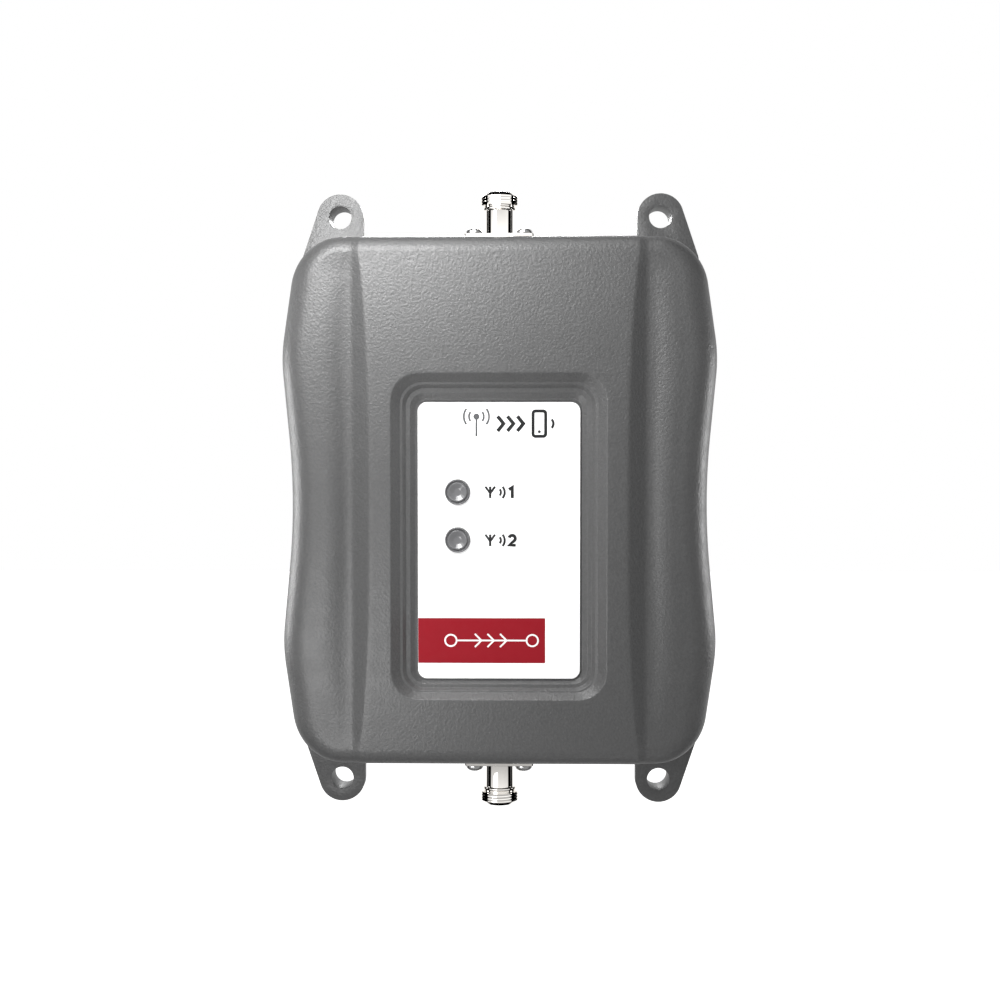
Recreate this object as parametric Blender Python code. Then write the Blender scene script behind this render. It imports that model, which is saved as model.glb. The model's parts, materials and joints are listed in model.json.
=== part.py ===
"""Wall-mounted cellular signal booster.

A cast rear housing with four mounting lugs carries the radio board, the two coaxial ports, the power jack
and the two gain trimmers. A sculpted front cover closes it, with a recessed label and two light pipes.

Lengths are in millimetres and become metres where a mesh is made. Everything hangs from one empty, whose
local x runs to the right, y up and z out of the wall towards the viewer, with the wall at z = 0.
In world axes the front faces -Y and the top faces +Z.
"""

import math

import bmesh
import bpy

MM = 0.001

# Body outline at the seam: a twelve-sided figure with rounded corners, given by its upper right quarter.
HALF_HEIGHT = 96.8
BULGE = (80.7, 53.2)
END_TAPER = 0.143
WAIST_TAPER = 0.095
CORNER_RADIUS = 20.0
BULGE_RADIUS = 60.0
WAIST_RADIUS = 255.0

# Depths out of the wall.
FLOOR = 3.5
SEAM = 12.0
COVER_REAR = 13.0
CEILING = 32.4
SHELF_OUTSIDE = 36.3
SHELF_INSIDE = 35.3
BED = 34.4
POCKET_FLOOR = 33.6
CREST = 38.3
PANEL = 40.0

# Front cover.
WALL = 2.8
DRAFT = math.tan(math.radians(1.5))
SIDE_SHOULDER = 10.0
END_SHOULDER = 6.3
PANEL_CROWN = 0.8
CROWN_START = 50.0
RELIEF_END = (82.0, 104.0)
PANEL_EDGE = 46.1
PANEL_EDGE_FLARE = 4.8
FACET_SLOPE = 0.52
FACET_EASES = (0.9, 2.0)
VALLEY_X = 54.5
CREST_SHARE = 0.72

# Stepped recess: half width, top, bottom and corner radius of its rim, shelf and bed.
RECESS_RIM = (39.2, 46.7, -71.9, 10.4)
SHELF_OUTER = (33.9, 41.4, -68.0, 6.8)
SHELF_INNER = (32.5, 40.0, -66.8, 5.6)
RECESS_BED = (30.3, 36.9, -65.5, 3.9)

# Label and light pipes.
LABEL = (29.6, 36.2, -64.8, 3.3)
LABEL_THICKNESS = 0.8
LIGHT_PIPES = {"upper": (-15.1, 3.5), "lower": (-15.1, -14.0)}
LENS_RADIUS = 4.5
LENS_HEIGHT = 1.7
PIPE_RADIUS = 2.5

# Rear housing.
HOUSING_WALL = 3.2
BACK_CHAMFER = 1.0
LUG_HOLE = (61.0, 107.7)
LUG_RADIUS = 8.8
LUG_HOLE_RADIUS = 4.35
LUG_THICKNESS = 11.5
LUG_PLATE = 4.0
LUG_BOSS_RADIUS = 6.6
LUG_RIB = (1.5, 88.0)
LUG_SHOULDER = (75.6, 92.0)
LUG_ROOT = (75.8, 82.0)
COVER_SCREWS = ((62.5, 81.5), (70.5, 0.0), (62.5, -81.5), (-62.5, 81.5), (-70.5, 0.0), (-62.5, -81.5))
BOARD_SCREWS = ((56.0, 64.0), (56.0, -64.0), (-56.0, 64.0), (-56.0, -64.0))

# End panels that carry the ports: outer face, thickness, front edge and half widths.
PORT_FACE = 95.9
PORT_WALL = 3.8
PORT_PANEL_TOP = 33.0
TOP_PANEL_HALF = 18.0
BOTTOM_PANEL_HALF = 46.0
PORT_DEPTH = 19.0

# Coaxial port, N type: flange, hole square, barrel stations above the flange seat.
SEAT_GAP = 0.1
FLANGE_HALF = 12.7
FLANGE_THICKNESS = 1.9
FLANGE_HOLE = 9.13
NECK_RADIUS = 5.3
NECK_LENGTH = 10.2
COLLAR_RADIUS = 6.3
THREAD_RADIUS = 7.3
THREAD_LENGTH = 3.3
TIP_CHAMFER = 1.3
MOUTH_RADIUS = 4.45
MOUTH_DEPTH = 9.5

# Controls on the lower end panel.
DIAL_X = {"band_one": -42.0, "band_two": -28.0}
DIAL_DEPTH = 23.0
DIAL_RADIUS = 3.0
JACK_X = 32.0
JACK_DEPTH = 23.5

# Radio board.
BOARD = (16.4, 18.0)
BOARD_HALF = (64.0, 87.5)
BOARD_CORNER = 14.0
ON_BOARD = BOARD[1] + 0.2

CLEARANCE = 0.3
FINE = 24
COARSE = 16


# Plan figures: lists of (x, y) points, anticlockwise as seen from the front.


def rounded_figure(corners):
    """A closed polygon whose corners (x, y, radius, steps) are rounded by arcs tangent to both sides."""
    points = []
    for i, (x, y, radius, steps) in enumerate(corners):
        before, after = corners[i - 1], corners[(i + 1) % len(corners)]
        start = math.atan2(y - before[1], x - before[0])
        turn = math.atan2(after[1] - y, after[0] - x) - start
        turn = (turn + math.pi) % (2 * math.pi) - math.pi
        if radius == 0 or abs(turn) < 1e-6:
            points.append((x, y))
            continue
        side = math.copysign(1, turn)
        reach = radius * math.tan(abs(turn) / 2)
        centre = (
            x - reach * math.cos(start) - side * radius * math.sin(start),
            y - reach * math.sin(start) + side * radius * math.cos(start),
        )
        for k in range(steps + 1):
            angle = start - side * math.pi / 2 + turn * k / steps
            points.append((centre[0] + radius * math.cos(angle), centre[1] + radius * math.sin(angle)))
    return points


def rounded_box(half_width, top, bottom, radius, steps=5):
    corners = ((half_width, bottom), (half_width, top), (-half_width, top), (-half_width, bottom))
    return rounded_figure([(x, y, radius, steps) for x, y in corners])


def circle(x, y, radius, steps):
    turns = (2 * math.pi * k / steps for k in range(steps))
    return [(x + radius * math.cos(a), y + radius * math.sin(a)) for a in turns]


def right_side(corner_steps, bulge_steps, waist_steps):
    """The outline's right-hand side at the seam, from the lower end to the upper end."""
    corner_x = BULGE[0] - END_TAPER * (HALF_HEIGHT - BULGE[1])
    waist_x = BULGE[0] - WAIST_TAPER * BULGE[1]
    upper = [(BULGE[0], BULGE[1], BULGE_RADIUS, bulge_steps), (corner_x, HALF_HEIGHT, CORNER_RADIUS, corner_steps)]
    lower = [(x, -y, radius, steps) for x, y, radius, steps in reversed(upper)]
    closing = [(0.0, HALF_HEIGHT, 0, 0), (0.0, -HALF_HEIGHT, 0, 0)]
    points = rounded_figure(lower + [(waist_x, 0.0, WAIST_RADIUS, waist_steps)] + upper + closing)
    return points[:-2]


def mirrored(points):
    return [(-x, y) for x, y in reversed(points)]


def body_outline():
    side = right_side(7, 3, 5)
    return side + mirrored(side)


def normals_of(points):
    """The outward unit normal at each point of a closed anticlockwise figure."""
    found = []
    for i in range(len(points)):
        ahead, behind = points[(i + 1) % len(points)], points[i - 1]
        dx, dy = ahead[0] - behind[0], ahead[1] - behind[1]
        length = math.hypot(dx, dy)
        found.append((dy / length, -dx / length))
    return found


def inset(points, amount):
    return [(x - amount * nx, y - amount * ny) for (x, y), (nx, ny) in zip(points, normals_of(points))]


def at(points, z):
    return [(x, y, z) for x, y in points]


# Solids.


def skin(loops, closed=False):
    """A closed surface through a row of loops. A loop of one point is a pole, and open ends are capped."""
    bm = bmesh.new()
    rows = [[bm.verts.new([MM * c for c in point]) for point in loop] for loop in loops]
    pairs = list(zip(rows, rows[1:]))
    if closed:
        pairs.append((rows[-1], rows[0]))
    for low, high in pairs:
        for i in range(max(len(low), len(high))):
            ring = [low[i % len(low)], low[(i + 1) % len(low)], high[(i + 1) % len(high)], high[i % len(high)]]
            bm.faces.new(dict.fromkeys(ring))
    if not closed:
        for end in (rows[0], rows[-1]):
            if len(end) > 2:
                bm.faces.new(end)
    return bm


def piece(name, bm, material, parent, location=(0, 0, 0), rotation=(0, 0, 0)):
    """Links a mesh as one named object under parent; bm is a bmesh, or a mesh that another object shares."""
    mesh = bm
    if isinstance(bm, bmesh.types.BMesh):
        bmesh.ops.recalc_face_normals(bm, faces=bm.faces)
        mesh = bpy.data.meshes.new(name)
        bm.to_mesh(mesh)
        bm.free()
        mesh.shade_smooth()
        mesh.set_sharp_from_angle(angle=math.radians(35))
        mesh.materials.append(material)
    obj = bpy.data.objects.new(name, mesh)
    obj.location = [MM * c for c in location]
    obj.rotation_euler = rotation
    obj.parent = parent
    bpy.context.scene.collection.objects.link(obj)
    return obj


def prism(figure, low, high):
    return skin([at(figure, low), at(figure, high)])


def block(x, y, z):
    """A box from its ranges along x, y and z."""
    figure = [(x[1], y[0]), (x[1], y[1]), (x[0], y[1]), (x[0], y[0])]
    return prism(figure, *z)


def turned(profile, steps, x=0.0, y=0.0, closed=False):
    """A solid of revolution about the z axis through (x, y), from (radius, z) stations."""
    loops = []
    for radius, z in profile:
        figure = circle(x, y, radius, steps) if radius > 0 else [(x, y)]
        loops.append(at(figure, z))
    return skin(loops, closed)


def rod(x, y, radius, low, high, steps=COARSE):
    return prism(circle(x, y, radius, steps), low, high)


def combine(target, operation, parts):
    """Adds an exact Boolean to target for each bmesh in parts, on hidden helper objects."""
    for number, bm in enumerate(parts):
        helper = piece(f"{target.name}_{operation.lower()}_{len(target.modifiers)}", bm, None, target.parent)
        helper.hide_render = True
        helper.display_type = "WIRE"
        modifier = target.modifiers.new(f"{operation.lower()}_{number}", "BOOLEAN")
        modifier.operation = operation
        modifier.object = helper
        modifier.solver = "EXACT"


def cut(target, *parts):
    combine(target, "DIFFERENCE", parts)


def join(target, *parts):
    combine(target, "UNION", parts)


# Materials.


def finish(name, colour, roughness, metallic=0.0):
    material = bpy.data.materials.new(name)
    material.use_nodes = True
    shader = material.node_tree.nodes["Principled BSDF"]
    shader.inputs["Base Color"].default_value = (*colour, 1.0)
    shader.inputs["Roughness"].default_value = roughness
    shader.inputs["Metallic"].default_value = metallic
    return material


def make_finishes():
    return {
        "paint": finish("textured_grey_paint", (0.14, 0.14, 0.142), 0.55),
        "label": finish("label_white", (0.9, 0.9, 0.9), 0.35),
        "lens": finish("smoked_lens", (0.3, 0.3, 0.31), 0.15),
        "nickel": finish("nickel_plate", (0.78, 0.76, 0.73), 0.18, 1.0),
        "steel": finish("screw_steel", (0.7, 0.7, 0.7), 0.25, 1.0),
        "gold": finish("gold_plate", (0.9, 0.7, 0.3), 0.2, 1.0),
        "fluoropolymer": finish("fluoropolymer_white", (0.88, 0.88, 0.86), 0.45),
        "board": finish("board_green", (0.02, 0.13, 0.06), 0.4),
        "tin": finish("tinned_shield", (0.66, 0.67, 0.68), 0.3, 1.0),
        "black": finish("black_plastic", (0.02, 0.02, 0.02), 0.45),
        "rubber": finish("black_rubber", (0.025, 0.025, 0.025), 0.8),
        "pad": finish("thermal_pad_blue", (0.2, 0.34, 0.5), 0.75),
        "ceramic": finish("filter_ceramic", (0.72, 0.69, 0.62), 0.5),
        "led": finish("led_package", (0.85, 0.83, 0.7), 0.3),
        "dial": finish("dial_white", (0.8, 0.8, 0.78), 0.4),
        "silver_label": finish("silver_label", (0.62, 0.62, 0.63), 0.4),
    }


# Front cover.


def ramp(t, ease_in, ease_out):
    """Rises from 0 to 1 as t does, along a straight slope that is rounded over the shares ease_in and ease_out."""
    t = min(max(t, 0.0), 1.0)
    slope = 1 / (1 - (ease_in + ease_out) / 2)
    if t < ease_in:
        return slope * t * t / (2 * ease_in)
    if t > 1 - ease_out:
        return 1 - slope * (1 - t) ** 2 / (2 * ease_out)
    return slope * (t - ease_in / 2)


def panel_edge(y):
    return PANEL_EDGE + PANEL_EDGE_FLARE * abs(y / HALF_HEIGHT) ** 3


def panel_depth(y):
    """Depth of the raised panel, which is flat in the middle and falls away towards both ends."""
    share = max(0.0, abs(y) - CROWN_START) / (HALF_HEIGHT - CROWN_START)
    return PANEL - PANEL_CROWN * share ** 2


def relief(y):
    """Share of the full relief at height y: the valley and the wing fade into the panel at both ends."""
    start, end = RELIEF_END
    return 1.0 - ramp((abs(y) - start) / (end - start), 0.5, 0.5)


def front_depth(x, y, edge_x):
    """Depth of the cover's sculpted front, where its shoulder starts at edge_x: panel, facet, valley and wing."""
    panel = panel_depth(y)
    reach, inner = abs(x), panel_edge(y)
    if reach <= inner:
        return panel
    width = VALLEY_X - inner
    eases = [min(0.5, ease / width) for ease in FACET_EASES]
    valley = panel - relief(y) * FACET_SLOPE * width * (1 - sum(eases) / 2)
    crest = panel - relief(y) * (PANEL - CREST)
    if reach <= VALLEY_X:
        return panel + (valley - panel) * ramp((reach - inner) / width, *eases)
    crest_x = VALLEY_X + CREST_SHARE * (edge_x - VALLEY_X)
    return valley + (crest - valley) * ramp((reach - VALLEY_X) / (crest_x - VALLEY_X), 0.3, 0.5)


def cover_columns(y, edge_x):
    """Where the grid's lines cross a row at height y: both edges of the step, the valley, crest and shoulder."""
    inner = panel_edge(y)
    crest_x = VALLEY_X + CREST_SHARE * (edge_x - VALLEY_X)
    stations = [inner / 2, inner]
    stations += [inner + share * (VALLEY_X - inner) for share in (0.12, 0.65, 1.0)]
    stations += [VALLEY_X + share * (crest_x - VALLEY_X) for share in (0.3, 0.55, 1.0)]
    stations.append(edge_x)
    return [-x for x in reversed(stations)] + [0.0] + stations


def shoulder_of(normal):
    """Width of the rounded shoulder, from the ends to the sides, by the direction that the wall faces."""
    side = normal[0] ** 2
    return END_SHOULDER + (SIDE_SHOULDER - END_SHOULDER) * side


def cover_shell():
    """The cover's outside as one closed solid: a grid over the front, a rounded shoulder and drafted walls."""
    side = right_side(7, 3, 5)
    outline = side + mirrored(side)
    side_normals = normals_of(outline)[: len(side)]
    side_normals[0], side_normals[-1] = (0.0, -1.0), (0.0, 1.0)
    draft = DRAFT * (CREST - SIDE_SHOULDER - COVER_REAR)
    bm = bmesh.new()

    def vertex(x, y, z):
        return bm.verts.new((MM * x, MM * y, MM * z))

    grid, edges = [], []
    for (x, y), (nx, ny) in zip(side, side_normals):
        width = shoulder_of((nx, ny)) + draft
        edge_x, row_y = x - width * nx, y - width * ny
        columns = cover_columns(row_y, edge_x)
        grid.append([vertex(cx, row_y, front_depth(cx, row_y, edge_x)) for cx in columns])
        edges.append((x, y, nx, ny))
    for low, high in zip(grid, grid[1:]):
        for i in range(len(low) - 1):
            bm.faces.new((low[i], low[i + 1], high[i + 1], high[i]))

    ends = range(1, len(grid[0]) - 1)
    rim = [(row[-1], *edge) for row, edge in zip(grid, edges)]
    rim += [(grid[-1][i], grid[-1][i].co.x / MM, HALF_HEIGHT, 0.0, 1.0) for i in reversed(ends)]
    rim += [(row[0], -x, y, -nx, ny) for row, (x, y, nx, ny) in reversed(list(zip(grid, edges)))]
    rim += [(grid[0][i], grid[0][i].co.x / MM, -HALF_HEIGHT, 0.0, -1.0) for i in ends]

    rings = [[station[0] for station in rim]]
    for angle in (60, 35, 0):
        turn = math.radians(angle)
        ring = []
        for top, x, y, nx, ny in rim:
            width = shoulder_of((nx, ny))
            back = draft + width * (1 - math.cos(turn))
            ring.append(vertex(x - back * nx, y - back * ny, top.co.z / MM - width * (1 - math.sin(turn))))
        rings.append(ring)
    rings.append([vertex(x, y, COVER_REAR) for _, x, y, _, _ in rim])
    for upper, lower in zip(rings, rings[1:]):
        for i in range(len(upper)):
            follow = (i + 1) % len(upper)
            bm.faces.new((upper[i], upper[follow], lower[follow], lower[i]))
    bm.faces.new(rings[-1])
    return bm


def recess_plug():
    """Cuts the recess: a pocket for the label, a first slope, a shelf, a second slope and the rim."""
    bed, rim = rounded_box(*RECESS_BED), rounded_box(*RECESS_RIM)
    inner, outer = rounded_box(*SHELF_INNER), rounded_box(*SHELF_OUTER)
    return skin([
        at(bed, POCKET_FLOOR), at(bed, BED), at(inner, SHELF_INSIDE), at(outer, SHELF_OUTSIDE),
        at(rim, PANEL - 0.1), at(rim, PANEL + 5.0),
    ])


def panel_notch(half_width, end):
    """The opening in the cover's end wall that fits round a port panel; end is 1 above and -1 below."""
    reach = sorted((end * (HALF_HEIGHT - 6.0), end * (HALF_HEIGHT + 6.0)))
    return block((-half_width - CLEARANCE, half_width + CLEARANCE), reach, (SEAM - 2.0, PORT_PANEL_TOP + CLEARANCE))


def build_cover(body, finishes):
    cover = piece("front_cover", cover_shell(), finishes["paint"], body)
    outline = body_outline()
    cavity = skin([
        at(inset(outline, WALL), SEAM - 1.0),
        at(inset(outline, WALL + 0.5), CEILING - 2.5),
        at(inset(outline, WALL + 2.5), CEILING),
    ])
    cut(cover, cavity, recess_plug())
    cut(cover, panel_notch(TOP_PANEL_HALF, 1), panel_notch(BOTTOM_PANEL_HALF, -1))
    cut(cover, *[rod(x, y, PIPE_RADIUS + 0.25, CEILING - 3, PANEL, FINE) for x, y in LIGHT_PIPES.values()])
    join(cover, *[rod(x, y, 3.6, COVER_REAR + 0.1, CEILING + 1.1) for x, y in COVER_SCREWS])
    cut(cover, *[rod(x, y, 1.65, SEAM, COVER_REAR + 11.0, 12) for x, y in COVER_SCREWS])
    return cover


def build_gaskets(body, finishes):
    """Two strips in the seam, one down each side between the port panels."""
    outline = right_side(7, 3, 5)
    closed = outline + mirrored(outline)
    middle = inset(closed, 0.8)[: len(outline)]
    inner = inset(closed, 2.2)[: len(outline)]
    low_end = (BOTTOM_PANEL_HALF + 0.6, -1)
    high_end = (TOP_PANEL_HALF + 0.6, 1)
    stations = list(zip(middle, inner))
    for place, (x, end) in ((0, low_end), (len(stations) + 1, high_end)):
        stations.insert(place, ((x, end * (HALF_HEIGHT - 0.8)), (x, end * (HALF_HEIGHT - 2.2))))
    bottom, top = SEAM + SEAT_GAP, COVER_REAR - SEAT_GAP
    for name, side in (("right", 1), ("left", -1)):
        loops = []
        for (ox, oy), (ix, iy) in stations:
            loops.append([(side * ox, oy, bottom), (side * ox, oy, top), (side * ix, iy, top), (side * ix, iy, bottom)])
        piece(f"seam_gasket_{name}", skin(loops), finishes["rubber"], body)


# Rear housing.


def lug_figure(side, end):
    """One mounting lug in plan; side and end are 1 or -1."""
    (x, y), radius = LUG_HOLE, LUG_RADIUS
    dx, dy = LUG_SHOULDER[0] - x, LUG_SHOULDER[1] - y
    lean = math.acos(radius / math.hypot(dx, dy)) + math.atan2(dy, dx)
    top = y + radius
    outer_x = x + (radius - radius * math.sin(lean)) / math.cos(lean)
    corners = [(x - radius, LUG_ROOT[1], 0, 0), (*LUG_ROOT, 0, 0), (*LUG_SHOULDER, 8.0, 3)]
    corners += [(outer_x, top, radius, 7), (x - radius, top, radius, 8)]
    figure = [(side * px, end * py) for px, py in rounded_figure(corners)]
    return figure if side * end > 0 else figure[::-1]


def lug_parts(side, end):
    """A lug's plate, the boss behind its hole and the rib that ties the boss to the body."""
    x, y = side * LUG_HOLE[0], end * LUG_HOLE[1]
    half, root = LUG_RIB
    front = LUG_THICKNESS - LUG_PLATE
    return [
        prism(lug_figure(side, end), front, LUG_THICKNESS),
        rod(x, y, LUG_BOSS_RADIUS, 0.0, front + 1.0, FINE),
        block((x - half, x + half), sorted((end * root, y)), (1.0, front + 0.8)),
    ]


def port_panel(half_width, end):
    span = sorted((end * (PORT_FACE - PORT_WALL), end * PORT_FACE))
    return block((-half_width, half_width), span, (1.5, PORT_PANEL_TOP))


def through_wall(x, depth, radius, end, steps=FINE):
    """A cutter along y through an end panel."""
    low, high = sorted((end * (PORT_FACE - PORT_WALL - 2), end * (PORT_FACE + 2)))
    loops = []
    for y in (low, high):
        loops.append([(px, y, pz) for px, pz in circle(x, depth, radius, steps)])
    return skin(loops)


def port_face_cut(half_width, end):
    """Trims the tray's own end wall flush with the port panel's outer face."""
    span = sorted((end * PORT_FACE, end * (HALF_HEIGHT + 4.0)))
    return block((-half_width, half_width), span, (-2.0, PORT_PANEL_TOP + 2.0))


def build_housing(body, finishes):
    outline = body_outline()
    shell = skin([
        at(inset(outline, 0.4 + BACK_CHAMFER), 0.0),
        at(inset(outline, 0.4), BACK_CHAMFER),
        at(outline, SEAM),
    ])
    housing = piece("rear_housing", shell, finishes["paint"], body)
    corners = [(side, end) for side in (1, -1) for end in (1, -1)]
    join(housing, *[part for side, end in corners for part in lug_parts(side, end)])
    cut(housing, prism(inset(outline, HOUSING_WALL), FLOOR, SEAM + 3))

    join(housing, port_panel(TOP_PANEL_HALF, 1), port_panel(BOTTOM_PANEL_HALF, -1))
    cut(housing, port_face_cut(TOP_PANEL_HALF, 1), port_face_cut(BOTTOM_PANEL_HALF, -1))
    join(housing, block((-8.0, 36.0), (-61.0, -27.0), (FLOOR - 1, BOARD[0] - 0.9)))
    join(housing, *[rod(x, y, 4.6, FLOOR - 1, SEAM - 0.05) for x, y in COVER_SCREWS])
    join(housing, *[rod(x, y, 3.6, FLOOR - 1, BOARD[0] - SEAT_GAP) for x, y in BOARD_SCREWS])

    hole_x, hole_y = LUG_HOLE
    cut(housing, *[rod(s * hole_x, e * hole_y, LUG_HOLE_RADIUS, -2, LUG_THICKNESS + 2, FINE) for s, e in corners])
    for x, y in COVER_SCREWS:
        cut(housing, turned([(0, -1), (3.3, -1), (3.3, 3.3), (1.7, 3.3), (1.7, SEAM + 1), (0, SEAM + 1)], COARSE, x, y))
    cut(housing, *[rod(x, y, 1.65, 8.0, BOARD[0] + 1, 12) for x, y in BOARD_SCREWS])
    for end in (1, -1):
        cut(housing, through_wall(0, PORT_DEPTH, 6.0, end))
        for dx in (-FLANGE_HOLE, FLANGE_HOLE):
            for dz in (-FLANGE_HOLE, FLANGE_HOLE):
                cut(housing, through_wall(dx, PORT_DEPTH + dz, 1.65, end, 12))
    cut(housing, *[through_wall(x, DIAL_DEPTH, DIAL_RADIUS + 0.35, -1) for x in DIAL_X.values()])
    cut(housing, through_wall(JACK_X, JACK_DEPTH, 4.2, -1))
    cut(housing, block((-31.0, 31.0), (21.0, 53.0), (-1, 0.4)))
    piece("rating_label", block((-30.7, 30.7), (21.3, 52.7), (0.1, 0.3)), finishes["silver_label"], body)
    return housing


# Front label and light pipes.


def build_label(body, finishes):
    bottom = POCKET_FLOOR + 0.05
    label = piece("front_label", prism(rounded_box(*LABEL), bottom, bottom + LABEL_THICKNESS), finishes["label"], body)
    cut(label, *[rod(x, y, LENS_RADIUS + 0.15, bottom - 1, bottom + 2, FINE) for x, y in LIGHT_PIPES.values()])
    seat = POCKET_FLOOR + 0.1
    for name, (x, y) in LIGHT_PIPES.items():
        profile = [(0, ON_BOARD + 1.7), (PIPE_RADIUS, ON_BOARD + 1.7), (PIPE_RADIUS, seat), (LENS_RADIUS, seat)]
        profile.append((LENS_RADIUS, seat + 0.45))
        for angle in (30, 60):
            turn = math.radians(angle)
            profile.append((LENS_RADIUS * math.cos(turn), seat + 0.45 + (LENS_HEIGHT - 0.45) * math.sin(turn)))
        profile.append((0, seat + LENS_HEIGHT))
        piece(f"light_pipe_{name}", turned(profile, FINE, x, y), finishes["lens"], body)
        led = block((x - 1.6, x + 1.6), (y - 1.6, y + 1.6), (ON_BOARD, ON_BOARD + 1.4))
        piece(f"led_{name}", led, finishes["led"], body)


# Fasteners: a pan-head screw on the z axis, its head's seat at z = 0.


def screw_mesh(head_radius, head_height, shank_radius, length):
    profile = [(0, head_height), (0.7 * head_radius, 0.93 * head_height), (head_radius, 0.45 * head_height)]
    profile += [(head_radius, 0), (shank_radius, 0), (shank_radius, -length), (0, -length)]
    return turned(profile, 12)


def build_screws(name, shared, material, parent, places, rotation):
    """Copies of one screw, which share its mesh."""
    for number, place in enumerate(places, 1):
        made = piece(f"{name}_{number}", shared, material, parent, place, rotation)
        shared = made.data


# Coaxial ports, built along z outwards from the panel's face.


def flange_figure():
    return rounded_box(FLANGE_HALF, FLANGE_HALF, -FLANGE_HALF, 1.2, 2)


def port_body():
    """Barrel stations outside, from the rear spigot to the tip, then back through the mouth and the bore."""
    face = SEAT_GAP + FLANGE_THICKNESS
    collar = face + NECK_LENGTH
    thread = collar + 1.7
    end = thread + THREAD_LENGTH
    tip = end + TIP_CHAMFER
    return [
        (5.6, -5.4), (5.6, SEAT_GAP + 0.5), (NECK_RADIUS, SEAT_GAP + 0.6), (NECK_RADIUS, collar),
        (COLLAR_RADIUS, collar), (COLLAR_RADIUS, collar + 1.0), (5.9, collar + 1.0), (5.9, thread),
        (THREAD_RADIUS, thread), (THREAD_RADIUS, end),
        (THREAD_RADIUS - TIP_CHAMFER, tip), (MOUTH_RADIUS, tip), (MOUTH_RADIUS, tip - MOUTH_DEPTH),
        (3.5, tip - MOUTH_DEPTH), (3.5, -5.4),
    ]


def build_port(name, end, body, finishes):
    """One port; end is 1 for the upper end of the body and -1 for the lower."""
    base = bpy.data.objects.new(f"{name}_axis", None)
    base.parent = body
    base.location = (0, end * MM * PORT_FACE, MM * PORT_DEPTH)
    base.rotation_euler = (-end * math.pi / 2, 0, 0)
    bpy.context.scene.collection.objects.link(base)

    stations = port_body()
    tip = stations[11][1]
    shell = piece(f"{name}_body", turned(stations, FINE, closed=True), finishes["nickel"], base)
    plate = prism(flange_figure(), SEAT_GAP, SEAT_GAP + FLANGE_THICKNESS)
    join(shell, plate)
    offsets = [(sx * FLANGE_HOLE, sy * FLANGE_HOLE) for sx in (-1, 1) for sy in (-1, 1)]
    cut(shell, rod(0, 0, 3.5, -7, SEAT_GAP + 4, FINE))
    cut(shell, *[rod(x, y, 1.7, -1, 4, 12) for x, y in offsets])

    dielectric = [(3.35, -6.4), (3.35, tip - 6.8), (1.75, tip - 6.8), (1.75, tip - 8.5), (0.95, tip - 8.5), (0.95, -6.4)]
    piece(f"{name}_insulator", turned(dielectric, COARSE, closed=True), finishes["fluoropolymer"], base)
    contact = [(0, -11.8), (0.8, -11.8), (0.8, tip - 8.3), (1.6, tip - 8.3), (1.6, tip - 2.2), (0.85, tip - 2.2)]
    contact += [(0.85, tip - 7.2), (0, tip - 7.2)]
    piece(f"{name}_contact", turned(contact, 12), finishes["gold"], base)

    seat = 2 * SEAT_GAP + FLANGE_THICKNESS
    build_screws(f"{name}_screw", screw_mesh(3.2, 2.4, 1.4, 7.5), finishes["steel"], base,
                 [(x, y, seat) for x, y in offsets], (0, 0, 0))


# Controls on the lower end panel.


def end_axis(name, x, depth, body):
    """An empty on the lower end panel's face, with z pointing down out of the panel."""
    axis = bpy.data.objects.new(name, None)
    axis.parent = body
    axis.location = (MM * x, -MM * PORT_FACE, MM * depth)
    axis.rotation_euler = (math.pi / 2, 0, 0)
    bpy.context.scene.collection.objects.link(axis)
    return axis


def build_dials(body, finishes):
    """Gain dials: a slotted head in the panel's hole, its shaft in a trimmer that stands on the board."""
    inner = -PORT_WALL
    for name, x in DIAL_X.items():
        axis = end_axis(f"gain_{name}_axis", x, DIAL_DEPTH, body)
        head = [(0, -0.4), (DIAL_RADIUS - 0.3, -0.4), (DIAL_RADIUS, -0.7), (DIAL_RADIUS, inner + 0.1)]
        shaft = [(1.6, inner + 0.1), (1.6, -10.5), (0, -10.5)]
        dial = piece(f"gain_dial_{name}", turned(head + shaft, FINE), finishes["dial"], axis)
        cut(dial, block((-0.45, 0.45), (-1.3, 2.4), (-1.7, 1)))
        below, above = ON_BOARD - DIAL_DEPTH, 4.6
        housing = block((-4.8, 4.8), (below, above), (-12.6, inner - 0.3))
        trimmer = piece(f"gain_trimmer_{name}", housing, finishes["black"], axis)
        cut(trimmer, rod(0, 0, 1.8, -11.2, 0, FINE))


def build_jack(body, finishes):
    axis = end_axis("power_jack_axis", JACK_X, JACK_DEPTH, body)
    below = ON_BOARD - JACK_DEPTH
    jack = piece("power_jack_housing", block((-4.5, 4.5), (below, 5.4), (-17.0, -4.1)), finishes["black"], axis)
    join(jack, rod(0, 0, 3.9, -6, 0.2, FINE))
    cut(jack, turned([(0, -13), (1.2, -13), (1.2, -9.6), (2.8, -9.6), (2.8, 2), (0, 2)], FINE))
    pin = [(0, -12.6), (1.0, -12.6), (1.0, -1.6), (0.7, -1.1), (0, -1.1)]
    piece("power_jack_pin", turned(pin, 12), finishes["nickel"], axis)


# Board and what stands on it.


def shield_can(name, x, y, height, body, finishes):
    """A folded sheet box, open towards the board."""
    top, thick = ON_BOARD + height, 0.5
    can = piece(name, block(x, y, (ON_BOARD, top)), finishes["tin"], body)
    inner = ((x[0] + thick, x[1] - thick), (y[0] + thick, y[1] - thick))
    cut(can, block(*inner, (ON_BOARD - 1, top - thick)))


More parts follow.
